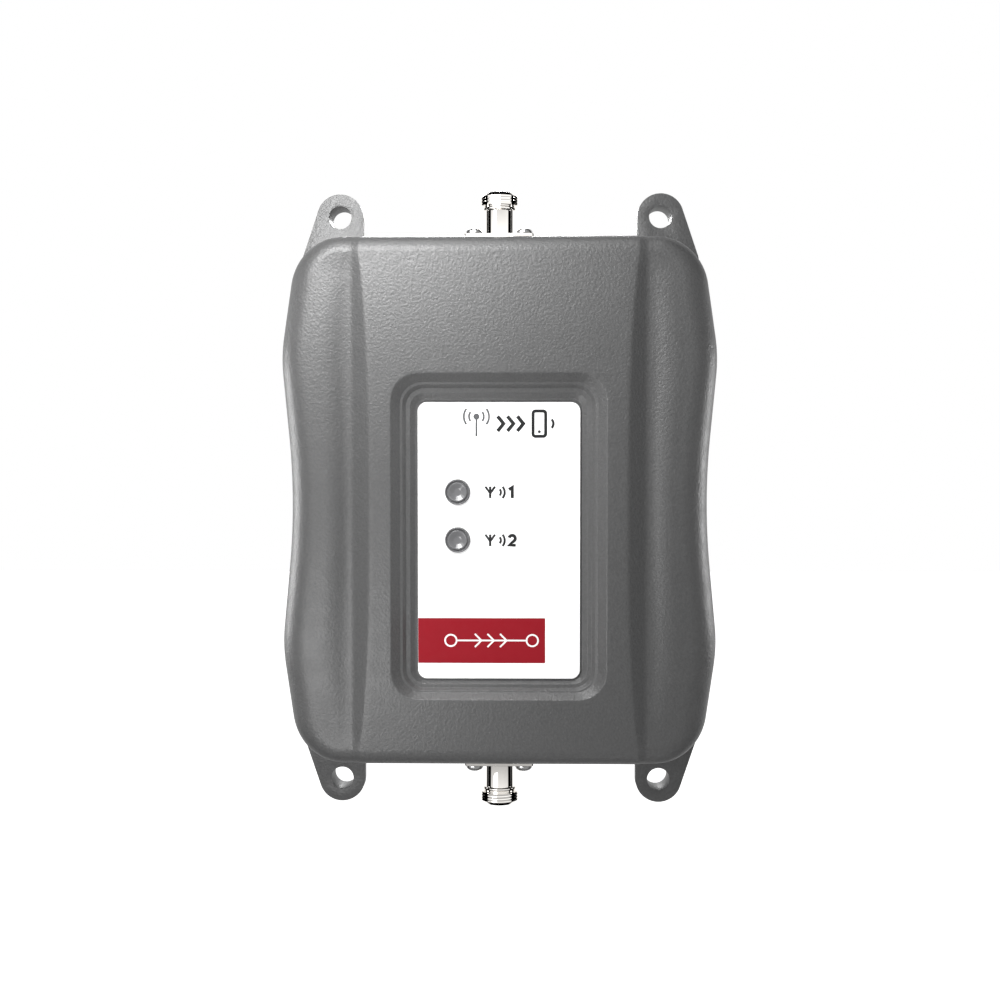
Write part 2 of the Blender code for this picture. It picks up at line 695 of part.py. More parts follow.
def build_board(body, finishes):
    (hx, hy), cut_off = BOARD_HALF, BOARD_CORNER
    quarter = [(hx, hy - cut_off), (hx - cut_off, hy)]
    figure = [(x, -y) for x, y in reversed(quarter)] + quarter
    board = piece("radio_board", prism(figure + mirrored(figure), *BOARD), finishes["board"], body)
    cut(board, *[rod(x, y, 1.75, BOARD[0] - 1, BOARD[1] + 1, 12) for x, y in BOARD_SCREWS])
    pad = block((-6.0, 34.0), (-59.0, -29.0), (BOARD[0] - 0.8, BOARD[0] - 0.1))
    piece("thermal_pad", pad, finishes["pad"], body)

    shield_can("uplink_shield", (-8.0, 50.0), (28.0, 72.0), 6.5, body, finishes)
    shield_can("downlink_shield", (-12.0, 42.0), (-64.0, -24.0), 6.5, body, finishes)
    shield_can("control_shield", (2.0, 50.0), (-18.0, 20.0), 5.0, body, finishes)
    for name, centre in (("outside", 52.0), ("inside", -50.0)):
        filter_block = block((-50.0, -24.0), (centre - 19, centre + 19), (ON_BOARD, ON_BOARD + 9.0))
        piece(f"duplexer_{name}", filter_block, finishes["ceramic"], body)
    piece("power_inductor", block((43.0, 53.0), (-79.0, -69.0), (ON_BOARD, ON_BOARD + 6.0)), finishes["black"], body)
    for number, y in enumerate((-40.0, -51.0), 1):
        profile = [(0, ON_BOARD), (4.0, ON_BOARD), (4.0, ON_BOARD + 10.5), (3.4, ON_BOARD + 11.0), (0, ON_BOARD + 11.0)]
        piece(f"filter_capacitor_{number}", turned(profile, COARSE, 54.0, y), finishes["tin"], body)


# Assembly.


def build():
    for obj in list(bpy.data.objects):
        bpy.data.objects.remove(obj, do_unlink=True)
    finishes = make_finishes()
    body = bpy.data.objects.new("booster_frame", None)
    body.rotation_euler = (math.pi / 2, 0, 0)
    bpy.context.scene.collection.objects.link(body)

    build_housing(body, finishes)
    build_cover(body, finishes)
    build_gaskets(body, finishes)
    build_label(body, finishes)
    build_board(body, finishes)
    build_port("outside_port", 1, body, finishes)
    build_port("inside_port", -1, body, finishes)
    build_dials(body, finishes)
    build_jack(body, finishes)
    seat = BOARD[1] + SEAT_GAP
    build_screws("board_screw", screw_mesh(2.8, 1.9, 1.4, 8.0), finishes["steel"], body,
                 [(x, y, seat) for x, y in BOARD_SCREWS], (0, 0, 0))
    build_screws("cover_screw", screw_mesh(2.8, 2.0, 1.4, 18.0), finishes["steel"], body,
                 [(x, y, 3.2) for x, y in COVER_SCREWS], (math.pi, 0, 0))


build()
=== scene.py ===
"""Looks of the wall-mounted cellular signal booster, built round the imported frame.

Shapes are made in a working space in millimetres, as in the CAD: x to the right, y up and z out of the wall.
The matrix WORLD turns that space into the frame's, where the front faces -Y.
"""

import json
import math

import bmesh
import bpy
from mathutils import Matrix, Vector


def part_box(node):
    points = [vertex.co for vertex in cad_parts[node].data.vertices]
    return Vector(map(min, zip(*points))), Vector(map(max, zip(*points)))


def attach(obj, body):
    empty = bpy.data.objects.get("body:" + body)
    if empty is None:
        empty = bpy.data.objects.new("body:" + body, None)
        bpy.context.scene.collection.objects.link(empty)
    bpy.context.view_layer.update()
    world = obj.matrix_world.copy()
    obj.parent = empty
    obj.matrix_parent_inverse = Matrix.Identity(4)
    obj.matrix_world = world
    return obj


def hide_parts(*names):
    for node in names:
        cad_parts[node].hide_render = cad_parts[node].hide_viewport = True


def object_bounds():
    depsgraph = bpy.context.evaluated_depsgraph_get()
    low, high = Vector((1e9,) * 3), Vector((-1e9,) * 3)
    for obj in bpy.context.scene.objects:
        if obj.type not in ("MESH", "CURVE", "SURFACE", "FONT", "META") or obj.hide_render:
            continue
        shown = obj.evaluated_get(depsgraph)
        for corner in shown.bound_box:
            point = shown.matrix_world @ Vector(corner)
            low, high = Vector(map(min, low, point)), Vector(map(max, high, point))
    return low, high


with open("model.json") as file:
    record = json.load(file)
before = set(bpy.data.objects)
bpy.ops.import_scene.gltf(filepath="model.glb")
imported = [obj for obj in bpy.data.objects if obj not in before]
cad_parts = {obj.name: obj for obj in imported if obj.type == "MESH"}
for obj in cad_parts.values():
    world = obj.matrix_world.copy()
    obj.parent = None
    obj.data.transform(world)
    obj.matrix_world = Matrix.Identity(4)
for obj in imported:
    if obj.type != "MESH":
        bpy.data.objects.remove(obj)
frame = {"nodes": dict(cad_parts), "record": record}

CAD_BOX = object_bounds()
MM = 0.001
CASE = "case"

# Camera: place in metres, slopes of the wall's normal across and up the view, and focal length.
CAMERA_AT = (0.008, -0.476, 0.014)
NORMAL_ACROSS = 0.01724
NORMAL_UP = 0.0303
LENS = 43.63
# The floor's distance below the object, in metres.
FLOOR_DROP = 0.45
# Faces above this size, in square metres, are shaded flat.
FLAT_AREA = 4e-4
# Strength of the light that the surroundings give from the front, the sides and behind.
WORLD_FRONT = 0.26
WORLD_SIDE = 0.06
WORLD_BEHIND = 0.9
# What polished metal mirrors: bright in front, black at the sides, bright behind, and dimmer low down.
MIRROR_FRONT = 1.4
MIRROR_LOW = 0.42
MIRROR_BEHIND = 1.3
# Lamps: place in metres, width and power.
LAMPS = {
    "upper_left": ((-0.090, -0.17, 0.160), 0.09, 0.38),
    "upper": ((-0.030, -0.17, 0.160), 0.09, 0.17),
    "left": ((-0.120, -0.17, 0.100), 0.09, 0.07),
    "lower_left": ((-0.090, -0.17, -0.080), 0.09, 0.115),
    "below": ((0.089, -0.21, -0.364), 0.16, 0.40),
    "above": ((-0.025, -0.161, 0.395), 0.16, 0.34),
    "left_edge": ((-0.443, 0.058, 0.0), 0.16, 1.05),
    "right_edge": ((0.443, 0.058, 0.0), 0.16, 0.8),
    "top_edge": ((-0.030, 0.360, 0.270), 0.16, 2.5),
}


def low_high(node):
    """A node's box in the working space: (low x, y, z), (high x, y, z) in millimetres."""
    lo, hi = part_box(node)
    return (lo[0] / MM, lo[2] / MM, -hi[1] / MM), (hi[0] / MM, hi[2] / MM, -lo[1] / MM)


def centre_of(node):
    lo, hi = low_high(node)
    return tuple((a + b) / 2 for a, b in zip(lo, hi))


COVER_LOW, COVER_HIGH = low_high("front_cover")
LABEL_LOW, LABEL_HIGH = low_high("front_label")

# Body outline at the seam: the widest point, the tapers away from it, and the rounds.
HALF_HEIGHT = COVER_HIGH[1]
BULGE = (80.7, 53.2)
END_TAPER = 0.143
WAIST_TAPER = 0.095
CORNER_RADIUS = 20.0
BULGE_RADIUS = 60.0
WAIST_RADIUS = 255.0

# Front cover: depths of its seam, rear edge, inside, wings' crests, panel and label pocket.
SEAM = 12.0
COVER_REAR = COVER_LOW[2]
CEILING = 32.4
CREST = 38.3
PANEL = COVER_HIGH[2]
POCKET_FLOOR = LABEL_LOW[2] - 0.05
WALL = 2.8
DRAFT = math.tan(math.radians(1.5))
SIDE_SHOULDER = 10.0
END_SHOULDER = 6.3
# Towards both ends the panel falls by its crown, and the valleys and wings fade into it.
PANEL_CROWN = 0.8
CROWN_START = 50.0
RELIEF_END = (82.0, 104.0)
# Across the front: panel edge, the facet that falls from it, valley, and the wing's crest.
PANEL_EDGE = 46.1
PANEL_EDGE_FLARE = 4.8
FACET_SLOPE = 0.52
FACET_EASES = (0.9, 2.0)
VALLEY_X = 54.5
CREST_SHARE = 0.72
# The recess at its rim, shelf's edges and bed: half width, top, bottom and corner radius.
RECESS = ((39.2, 46.7, -71.9, 10.4), (33.9, 41.4, -68.0, 6.8), (32.5, 40.0, -66.8, 5.6),
          (30.3, 36.9, -65.5, 3.9))
# The rectangle of the front's grid that the recess takes the place of.
HOLE_X = 42.6
HOLE_Y = (-75.5, 50.5)
HOLE_COLUMNS = 14

# Rear housing: its floor and wall, and the round and the step at its back edge.
FLOOR = 3.5
HOUSING_WALL = 3.2
BACK_ROUND = 1.0
BACK_STEP = 0.4
# Lugs: a plate, a boss behind its hole, a rib (half width, inner end), and the outline's corners.
LUG_HOLE = (61.0, 107.7)
LUG_RADIUS = 8.8
LUG_HOLE_RADIUS = 4.35
LUG_THICKNESS = 11.5
LUG_PLATE = 4.0
LUG_BOSS_RADIUS = 6.6
LUG_RIB = (1.5, 88.0)
LUG_SHOULDER = (75.6, 92.0)
LUG_ROOT = (75.8, 82.0)
# End panels, as half width and end (1 upper, -1 lower), and what stands in or on them.
END_PANELS = ((18.0, 1), (46.0, -1))
PORT_FACE = 95.9
PORT_WALL = 3.8
PORT_PANEL_TOP = 33.0
PORT_DEPTH = 19.0
FLANGE_HOLE = 9.13
FLANGE_CORNERS = [(x * FLANGE_HOLE, y * FLANGE_HOLE) for x in (-1, 1) for y in (-1, 1)]
DIALS = {"one": centre_of("gain_dial_band_one"), "two": centre_of("gain_dial_band_two")}
JACK = centre_of("power_jack_pin")
DIAL_HOLE_RADIUS = 3.35
JACK_HOLE_RADIUS = 4.2

# Lamps' light pipes, and the screws that hold the cover and the board.
LENSES = [centre_of("light_pipe_upper"), centre_of("light_pipe_lower")]
PIPE_HOLE_RADIUS = 2.75
LENS_HOLE_RADIUS = 4.65
COVER_SCREWS = [centre_of(f"cover_screw_{n}")[:2] for n in range(1, 7)]
BOARD_SCREWS = [centre_of(f"board_screw_{n}")[:2] for n in range(1, 5)]
BOARD_REAR = low_high("radio_board")[0][2]
SCREW_BORE = 1.65
BOSS_RADIUS = 3.6
SEAM_BOSS_RADIUS = 4.6

# Label: the red strip's right edge, span and sign height, and the print's thickness and lift.
STRIP_RIGHT = 16.9
STRIP_SPAN = (-59.1, -42.6)
STRIP_MARK_Y = -50.8
INK = 0.03
INK_LIFT = 0.005

# Ports, along their own axis from the panel that they stand on.
PORT_TIP = 18.5
PORT_STUB = -5.4
THREAD_SPAN = (13.9, 17.2)
THREAD_CREST = 7.3
THREAD_DEPTH = 0.07
THREAD_PITCH = 1.06
FLANGE_HALF = 12.7
FLANGE_THICKNESS = 2.0
# Screws: head radius, head height, shank radius and length.
PORT_SCREW = (3.2, 2.4, 1.4, 7.5)
COVER_SCREW = (2.8, 2.0, 1.4, 18.0)


# Figures and paths in the working space.


def arc_points(before, corner, after, radius, steps):
    """The points of a fillet at a corner, between the lines to its neighbours."""
    x, y = corner
    start = math.atan2(y - before[1], x - before[0])
    turn = math.atan2(after[1] - y, after[0] - x) - start
    turn = (turn + math.pi) % (2 * math.pi) - math.pi
    if radius == 0 or abs(turn) < 1e-6:
        return [(x, y)]
    side = math.copysign(1, turn)
    reach = radius * math.tan(abs(turn) / 2)
    cx = x - reach * math.cos(start) - side * radius * math.sin(start)
    cy = y - reach * math.sin(start) + side * radius * math.cos(start)
    angles = (start - side * math.pi / 2 + turn * k / steps for k in range(steps + 1))
    return [(cx + radius * math.cos(a), cy + radius * math.sin(a)) for a in angles]


def rounded_figure(corners):
    points = []
    for i, (x, y, radius, steps) in enumerate(corners):
        after = corners[(i + 1) % len(corners)]
        points += arc_points(corners[i - 1][:2], (x, y), after[:2], radius, steps)
    return points


def rounded_path(corners, steps=4):
    """An open path of (x, y, radius) with its inner corners rounded."""
    points = [tuple(corners[0][:2])]
    for before, corner, after in zip(corners, corners[1:], corners[2:]):
        points += arc_points(before[:2], corner[:2], after[:2], corner[2], steps)
    points.append(tuple(corners[-1][:2]))
    return points


def rounded_box(half_width, top, bottom, radius, steps=12, middle=0.0):
    left, right = middle - half_width, middle + half_width
    corners = ((right, bottom), (right, top), (left, top), (left, bottom))
    return rounded_figure([(x, y, radius, steps) for x, y in corners])


def circle(x, y, radius, steps):
    turns = (2 * math.pi * k / steps for k in range(steps))
    return [(x + radius * math.cos(a), y + radius * math.sin(a)) for a in turns]


def densify(points, step):
    """Adds points along the straight runs of an open line so that none is longer than step."""
    dense = [points[0]]
    for (x0, y0), (x1, y1) in zip(points, points[1:]):
        pieces = max(1, math.ceil(math.hypot(x1 - x0, y1 - y0) / step))
        for k in range(1, pieces + 1):
            dense.append((x0 + (x1 - x0) * k / pieces, y0 + (y1 - y0) * k / pieces))
    return dense


def right_side(step):
    """The outline's right-hand side at the seam, from the lower end to the upper end."""
    corner_x = BULGE[0] - END_TAPER * (HALF_HEIGHT - BULGE[1])
    waist_x = BULGE[0] - WAIST_TAPER * BULGE[1]
    upper = [(BULGE[0], BULGE[1], BULGE_RADIUS, 12), (corner_x, HALF_HEIGHT, CORNER_RADIUS, 26)]
    lower = [(x, -y, radius, steps) for x, y, radius, steps in reversed(upper)]
    closing = [(0.0, HALF_HEIGHT, 0, 0), (0.0, -HALF_HEIGHT, 0, 0)]
    points = rounded_figure(lower + [(waist_x, 0.0, WAIST_RADIUS, 32)] + upper + closing)
    return densify(points[:-2], step)


def mirrored(points):
    return [(-x, y) for x, y in reversed(points)]


def heading(start, end):
    dx, dy = end[0] - start[0], end[1] - start[1]
    length = math.hypot(dx, dy)
    return dx / length, dy / length


def normals_of(points):
    """Outward normals at the points of a closed figure."""
    headings = map(heading, points[-1:] + points[:-1], points[1:] + points[:1])
    return [(uy, -ux) for ux, uy in headings]


def inset(points, amount):
    return [(x - amount * nx, y - amount * ny) for (x, y), (nx, ny) in zip(points, normals_of(points))]


def at(points, z):
    return [(x, y, z) for x, y in points]


def body_outline(step=3.0):
    return right_side(step) + mirrored(right_side(step))


# Meshes.


def skin(loops, closed=False):
    """A closed surface through a row of loops. A loop of one point is a pole, and open ends are capped."""
    bm = bmesh.new()
    rows = [[bm.verts.new([MM * c for c in point]) for point in loop] for loop in loops]
    pairs = list(zip(rows, rows[1:]))
    if closed:
        pairs.append((rows[-1], rows[0]))
    for low, high in pairs:
        for i in range(max(len(low), len(high))):
            near = [low[i % len(low)], low[(i + 1) % len(low)]]
            far = [high[(i + 1) % len(high)], high[i % len(high)]]
            bm.faces.new(dict.fromkeys(near + far))
    if not closed:
        for end in (rows[0], rows[-1]):
            if len(end) > 2:
                bm.faces.new(end)
    bmesh.ops.recalc_face_normals(bm, faces=bm.faces)
    return bm


def prism(figure, low, high):
    return skin([at(figure, low), at(figure, high)])


def block(x, y, z):
    figure = [(x[1], y[0]), (x[1], y[1]), (x[0], y[1]), (x[0], y[0])]
    return prism(figure, *z)


def lathe(profile, steps=64, x=0.0, y=0.0, closed=False):
    """A solid of revolution about the z axis through (x, y), from (radius, z) stations."""
    figures = [(circle(x, y, radius, steps) if radius > 1e-6 else [(x, y)], z) for radius, z in profile]
    return skin([at(figure, z) for figure, z in figures], closed)


def rod(x, y, radius, low, high, steps=48):
    return prism(circle(x, y, radius, steps), low, high)


def through_wall(x, depth, radius, end, steps=48):
    low, high = sorted((end * (PORT_FACE - PORT_WALL - 2), end * (PORT_FACE + 2)))
    return skin([[(px, y, pz) for px, pz in circle(x, depth, radius, steps)] for y in (low, high)])


def mesh_of(bm, name):
    mesh = bpy.data.meshes.new(name)
    bm.to_mesh(mesh)
    bm.free()
    return mesh


def temporary(bm, name="helper"):
    obj = bpy.data.objects.new(name, mesh_of(bm, name))
    bpy.context.scene.collection.objects.link(obj)
    return obj


def evaluated(obj):
    """The mesh that an object's modifiers give, with the object and its helpers removed."""
    mesh = bpy.data.meshes.new_from_object(obj.evaluated_get(bpy.context.evaluated_depsgraph_get()))
    for modifier in obj.modifiers:
        if modifier.type == "BOOLEAN":
            bpy.data.objects.remove(modifier.object, do_unlink=True)
    bpy.data.objects.remove(obj, do_unlink=True)
    bm = bmesh.new()
    bm.from_mesh(mesh)
    bpy.data.meshes.remove(mesh)
    return bm


def cut(parts):
    return [("cut", part) for part in parts]


def join(parts):
    return [("join", part) for part in parts]


def shaped(bm, steps, bevel=0.0, angle=40.0, segments=3):
    """Runs exact Booleans in turn, from pairs of "cut" or "join" and a part, then bevels the sharp edges."""
    obj = temporary(bm)
    for operation, part in steps:
        modifier = obj.modifiers.new(operation, "BOOLEAN")
        modifier.operation = "DIFFERENCE" if operation == "cut" else "UNION"
        modifier.object = temporary(part)
        modifier.object.hide_render = True
        modifier.solver = "EXACT"
    if bevel:
        modifier = obj.modifiers.new("edges", "BEVEL")
        modifier.width = bevel * MM
        modifier.segments = segments
        modifier.limit_method = "ANGLE"
        modifier.angle_limit = math.radians(angle)
        modifier.miter_outer = "MITER_ARC"
    return evaluated(obj)


WORLD = Matrix.Rotation(math.pi / 2, 4, "X")


def end_frame(x, y, z, end):
    """Pose of a piece whose own z axis points up (end 1) or down (end -1) out of the case."""
    return Matrix.Translation((MM * x, MM * y, MM * z)) @ Matrix.Rotation(-end * math.pi / 2, 4, "X")


def piece(name, shape, look, replaces=(), body=CASE, pose=Matrix(), angle=35.0):
    """One visible piece, its mesh in the frame's metres, dressed in its look's material."""
    if isinstance(shape, bmesh.types.BMesh):
        shape = mesh_of(shape, name)
    else:
        shape = shape.copy()
    shape.name = name
    shape.transform(WORLD @ pose)
    shape.shade_smooth()
    shape.set_sharp_from_angle(angle=math.radians(angle))
    # Large flat faces keep their own shading, so it isn't bent towards the rounds beside them.
    for face in shape.polygons:
        if face.area > FLAT_AREA:
            for i in face.loop_indices:
                shape.edges[shape.loops[i].edge_index].use_edge_sharp = True
    shape.materials.clear()
    shape.materials.append(LOOKS[look])
    obj = bpy.data.objects.new(name, shape)
    bpy.context.scene.collection.objects.link(obj)
    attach(obj, body)
    if replaces:
        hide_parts(*replaces)


# Materials. Each has its own grain, in object coordinates, which are metres on the real object.


def add_node(tree, kind, output, sockets=None, **settings):
    """Adds a node with its sockets set to values or linked from other nodes' outputs; gives its output."""
    made = tree.nodes.new(kind)
    for key, value in settings.items():
        setattr(made, key, value)
    for socket, value in (sockets or {}).items():
        if isinstance(value, bpy.types.NodeSocket):
            tree.links.new(value, made.inputs[socket])
        else:
            made.inputs[socket].default_value = value
    return made.outputs[output]


def map_range(tree, value, *limits):
    """A clamped ramp: as value runs between the first two limits, the result runs between the last two."""
    sockets = dict(zip(("From Min", "From Max", "To Min", "To Max"), limits))
    return add_node(tree, "ShaderNodeMapRange", "Result", {"Value": value, **sockets})


class Look:
    """A Principled material under construction."""

    def __init__(self, name, colour, roughness, metallic=0.0, **sockets):
        self.material = bpy.data.materials.new(name)
        self.material.use_nodes = True
        self.tree = self.material.node_tree
        self.shader = self.tree.nodes["Principled BSDF"]
        self.colour = colour
        values = {"Base_Color": (*colour, 1.0), "Roughness": roughness, "Metallic": metallic, **sockets}
        for socket, value in values.items():
            self.shader.inputs[socket.replace("_", " ")].default_value = value
        self.place = self.node("ShaderNodeTexCoord", "Object")
        self.normal = None

    def node(self, kind, output, sockets=None, **settings):
        return add_node(self.tree, kind, output, sockets, **settings)

    def drive(self, socket, source):
        self.tree.links.new(source, self.shader.inputs[socket])

    def noise(self, size_mm, detail=2.0, rough=0.5, stretch=None, distortion=0.0):
        place = self.place
        if stretch:
            place = self.node("ShaderNodeMapping", "Vector", {"Vector": place, "Scale": stretch})
        sockets = {"Detail": detail, "Roughness": rough, "Distortion": distortion, "Vector": place}
        return self.node("ShaderNodeTexNoise", "Fac", {"Scale": 1.0 / (size_mm * MM), **sockets})

    def curve(self, value, *limits):
        return map_range(self.tree, value, *limits)

    def bump(self, height, depth_mm, strength=1.0):
        sockets = {"Distance": depth_mm * MM, "Strength": strength, "Height": height}
        if self.normal:
            sockets["Normal"] = self.normal
        self.normal = self.node("ShaderNodeBump", "Normal", sockets)
        self.drive("Normal", self.normal)

    def tint(self, fac, low, high):
        """Colours the surface between two factors of its base colour as fac runs from 0 to 1."""
        dark, light = ((*[min(1.0, factor * c) for c in self.colour], 1.0) for factor in (low, high))
        sockets = {"Factor": fac, "A": dark, "B": light}
        self.drive("Base Color", self.node("ShaderNodeMix", "Result", sockets, data_type="RGBA"))

    def vary_roughness(self, fac, low, high):
        self.drive("Roughness", self.curve(fac, 0.3, 0.7, low, high))


def powder_coat():
    look = Look("case_powder_coat", (0.072, 0.0722, 0.0725), 0.45, Specular_IOR_Level=0.8)
    grain = look.noise(0.95, detail=1.2, rough=0.5, distortion=0.25)
    look.bump(look.curve(grain, 0.3, 0.7, 0.0, 1.0), 0.095, 0.7)
    look.bump(look.noise(3.4, detail=1.0), 0.09, 0.3)
    look.tint(look.curve(look.noise(0.9, detail=2.0), 0.3, 0.7, 0.0, 1.0), 0.9, 1.1)
    look.vary_roughness(look.noise(6.0), 0.43, 0.49)
    return look.material


def metal(name, colour, roughness, grain_mm, depth_mm, stretch=None):
    look = Look(name, colour, roughness, 1.0)
    scratches = look.noise(grain_mm, detail=3.0, rough=0.6, stretch=stretch)
    look.bump(scratches, depth_mm, 0.6)
    look.vary_roughness(look.noise(grain_mm * 6), roughness * 0.8, roughness * 1.35)
    look.tint(look.noise(grain_mm * 9), 0.93, 1.03)
    return look.material


def bright_plate(name, colour):
    """Polished plating: a clean mirror with faint clouding."""
    look = Look(name, colour, 0.0, 1.0)
    look.tint(look.noise(1.5), 0.95, 1.02)
    return look.material


def plastic(name, colour, roughness, grain_mm=0.5, depth_mm=0.01, spread=0.06, **sockets):
    look = Look(name, colour, roughness, **sockets)
    look.bump(look.noise(grain_mm, detail=3.0), depth_mm, 0.5)
    look.tint(look.noise(grain_mm * 8), 1 - spread, 1 + spread)
    look.vary_roughness(look.noise(grain_mm * 5), roughness * 0.85, min(1.0, roughness * 1.15))
    return look.material


def board_look():
    """Green solder mask over a grid of copper runs."""
    look = Look("board_solder_mask", (0.012, 0.10, 0.045), 0.35)
    runs = look.node("ShaderNodeTexBrick", "Fac", {"Vector": look.place, "Scale": 220.0, "Mortar Size": 0.06})
    look.bump(runs, 0.03, 0.6)
    look.tint(look.curve(runs, 0.0, 1.0, 0.2, 1.0), 0.8, 1.7)
    return look.material


LOOKS = {
    "paint": powder_coat(),
    # The label's white film glows faintly though it is no lamp: painted light that lifts it to full white.
    "label": plastic("label_film_white_painted_glow", (0.96, 0.96, 0.96), 0.38, 0.6, 0.004, 0.01,
                     Emission_Color=(1, 1, 1, 1), Emission_Strength=0.12),
    "red": plastic("label_ink_red", (0.27, 0.008, 0.016), 0.6, 0.6, 0.004, 0.03, Specular_IOR_Level=0.15),
    "ink": plastic("label_ink_black", (0.012, 0.012, 0.013), 0.4, 0.6, 0.004, 0.05),
    "grey_ink": plastic("label_ink_grey", (0.10, 0.10, 0.105), 0.4, 0.6, 0.004, 0.05),
    "white_ink": plastic("label_ink_white", (0.9, 0.9, 0.9), 0.4, 0.6, 0.004, 0.01),
    "silver_label": plastic("rating_film_silver", (0.58, 0.58, 0.6), 0.4, 0.4, 0.006, 0.04, Metallic=0.5),
    "lens": plastic("lens_smoked_clear", (0.155, 0.155, 0.16), 0.12, 0.8, 0.004, 0.05, Coat_Weight=0.6),
    "rubber": plastic("gasket_rubber", (0.02, 0.02, 0.02), 0.8, 0.4, 0.03, 0.1),
    "black_plastic": plastic("moulded_black", (0.02, 0.02, 0.021), 0.45, 0.4, 0.02, 0.08),
    "dial": plastic("dial_nylon_white", (0.78, 0.78, 0.75), 0.42, 0.4, 0.01, 0.04),
    "fluoropolymer": plastic("insulator_white", (0.85, 0.85, 0.83), 0.5, 0.4, 0.01, 0.03),
    "pad": plastic("thermal_pad_blue", (0.16, 0.30, 0.48), 0.8, 0.5, 0.05, 0.1),
    "ceramic": plastic("duplexer_ceramic", (0.68, 0.65, 0.58), 0.5, 0.8, 0.03, 0.06),
    "led": plastic("led_package", (0.82, 0.8, 0.62), 0.35, 0.3, 0.01, 0.05),
    "board": board_look(),
    "nickel": bright_plate("nickel_plate", (0.80, 0.775, 0.74)),
    "steel": metal("screw_zinc_plate", (0.76, 0.76, 0.76), 0.24, 0.3, 0.006),
    "tin": metal("tinned_sheet", (0.66, 0.67, 0.68), 0.3, 0.5, 0.006, (1.0, 1.0, 8.0)),
    "gold": metal("gold_plate", (0.92, 0.68, 0.28), 0.2, 0.3, 0.003),
}


def dress_frame():
    """Gives every carried-over CAD node the look of its material slot."""
    for entry in frame["record"]["subparts"]:
        node = frame["nodes"][entry["node"]]
        for slot in node.material_slots:
            slot.material = LOOKS[entry["material_slot"]]


# Front cover.


def ramp(t, ease_in, ease_out):
    """Rises from 0 to 1 as t does, on a straight slope that is eased over a share at each end."""
    t = min(max(t, 0.0), 1.0)
    slope = 1 / (1 - (ease_in + ease_out) / 2)
    if t < ease_in:
        return slope * t * t / (2 * ease_in)
    if t > 1 - ease_out:
        return 1 - slope * (1 - t) ** 2 / (2 * ease_out)
    return slope * (t - ease_in / 2)


def panel_edge(y):
    return PANEL_EDGE + PANEL_EDGE_FLARE * abs(y / HALF_HEIGHT) ** 3


def panel_depth(y):
    share = max(0.0, abs(y) - CROWN_START) / (HALF_HEIGHT - CROWN_START)
    return PANEL - PANEL_CROWN * share ** 2


def relief(y):
    """Share of the full relief at height y: the valley and the wing fade into the panel at both ends."""
    start, end = RELIEF_END
    return 1.0 - ramp((abs(y) - start) / (end - start), 0.5, 0.5)


def crest_of(edge_x):
    return VALLEY_X + CREST_SHARE * (edge_x - VALLEY_X)


def front_depth(x, y, edge_x):
    """Depth of the sculpted front: panel, facet, valley, and the wing that ends at edge_x."""
    panel = panel_depth(y)
    reach, inner = abs(x), panel_edge(y)
    if reach <= inner:
        return panel
    width = VALLEY_X - inner
    eases = [min(0.5, ease / width) for ease in FACET_EASES]
    valley = panel - relief(y) * FACET_SLOPE * width * (1 - sum(eases) / 2)
    crest = panel - relief(y) * (PANEL - CREST)
    if reach <= VALLEY_X:
        return panel + (valley - panel) * ramp((reach - inner) / width, *eases)
    return valley + (crest - valley) * ramp((reach - VALLEY_X) / (crest_of(edge_x) - VALLEY_X), 0.3, 0.6)


def spread(low, high, count):
    return [low + (high - low) * k / count for k in range(1, count + 1)]


def cover_columns(y, edge_x):
    inner, crest_x = panel_edge(y), crest_of(edge_x)
    stations = spread(0.0, HOLE_X, HOLE_COLUMNS) + spread(HOLE_X, inner, 3) + spread(inner, VALLEY_X, 12)
    stations += spread(VALLEY_X, crest_x, 14) + spread(crest_x, edge_x, 5)
    return [-x for x in reversed(stations)] + [0.0] + stations


def shoulder_of(normal):
    return END_SHOULDER + (SIDE_SHOULDER - END_SHOULDER) * normal[0] ** 2


def recess_size(d):
    """Half width, top, bottom and radius of the recess's figure, at an inset d from its rim."""
    half, top, bottom, radius = RECESS[0]
    if d <= 0:
        return half - d, top - d, bottom + d, radius - d
    for outer, inner in zip(RECESS, RECESS[1:]):
        if half - d >= inner[0] - 1e-9:
            t = (outer[0] - half + d) / (outer[0] - inner[0])
            return [a + (b - a) * t for a, b in zip(outer, inner)]
    return RECESS[-1]


def recess_profile():
    """Depth against inset: panel, first slope, shelf, second slope, bed, and the label's pocket."""
    bed = RECESS[0][0] - RECESS[-1][0]
    path = [(-2.2, 0.0, 0), (0.2, 0.0, 1.0), (3.3, -2.9, 0.7), (4.2, -3.1, 0.4), (5.3, -4.5, 0.5)]
    path += [(bed - 2.0, -4.7, 0.6), (bed - 0.3, -6.1, 0.15), (bed, -6.15, 0), (bed, POCKET_FLOOR - PANEL, 0)]
    return rounded_path(path, 5)


def on_rounded_box(size, place):
    """A point of a rounded box, from its side (0 right, 1 top, 2 left, 3 bottom) and a run or an angle."""
    half, top, bottom, radius = size
    centres = [(half - radius, top - radius), (-half + radius, top - radius)]
    centres += [(-half + radius, bottom + radius), (half - radius, bottom + radius)]
    kind, side, value = place
    (x, y), angle = centres[side], side * math.pi / 2
    if kind == "arc":
        angle += value
    else:
        ax, ay = centres[side - 1]
        x, y = ax + (x - ax) * value, ay + (y - ay) * value
    return x + radius * math.cos(angle), y + radius * math.sin(angle)


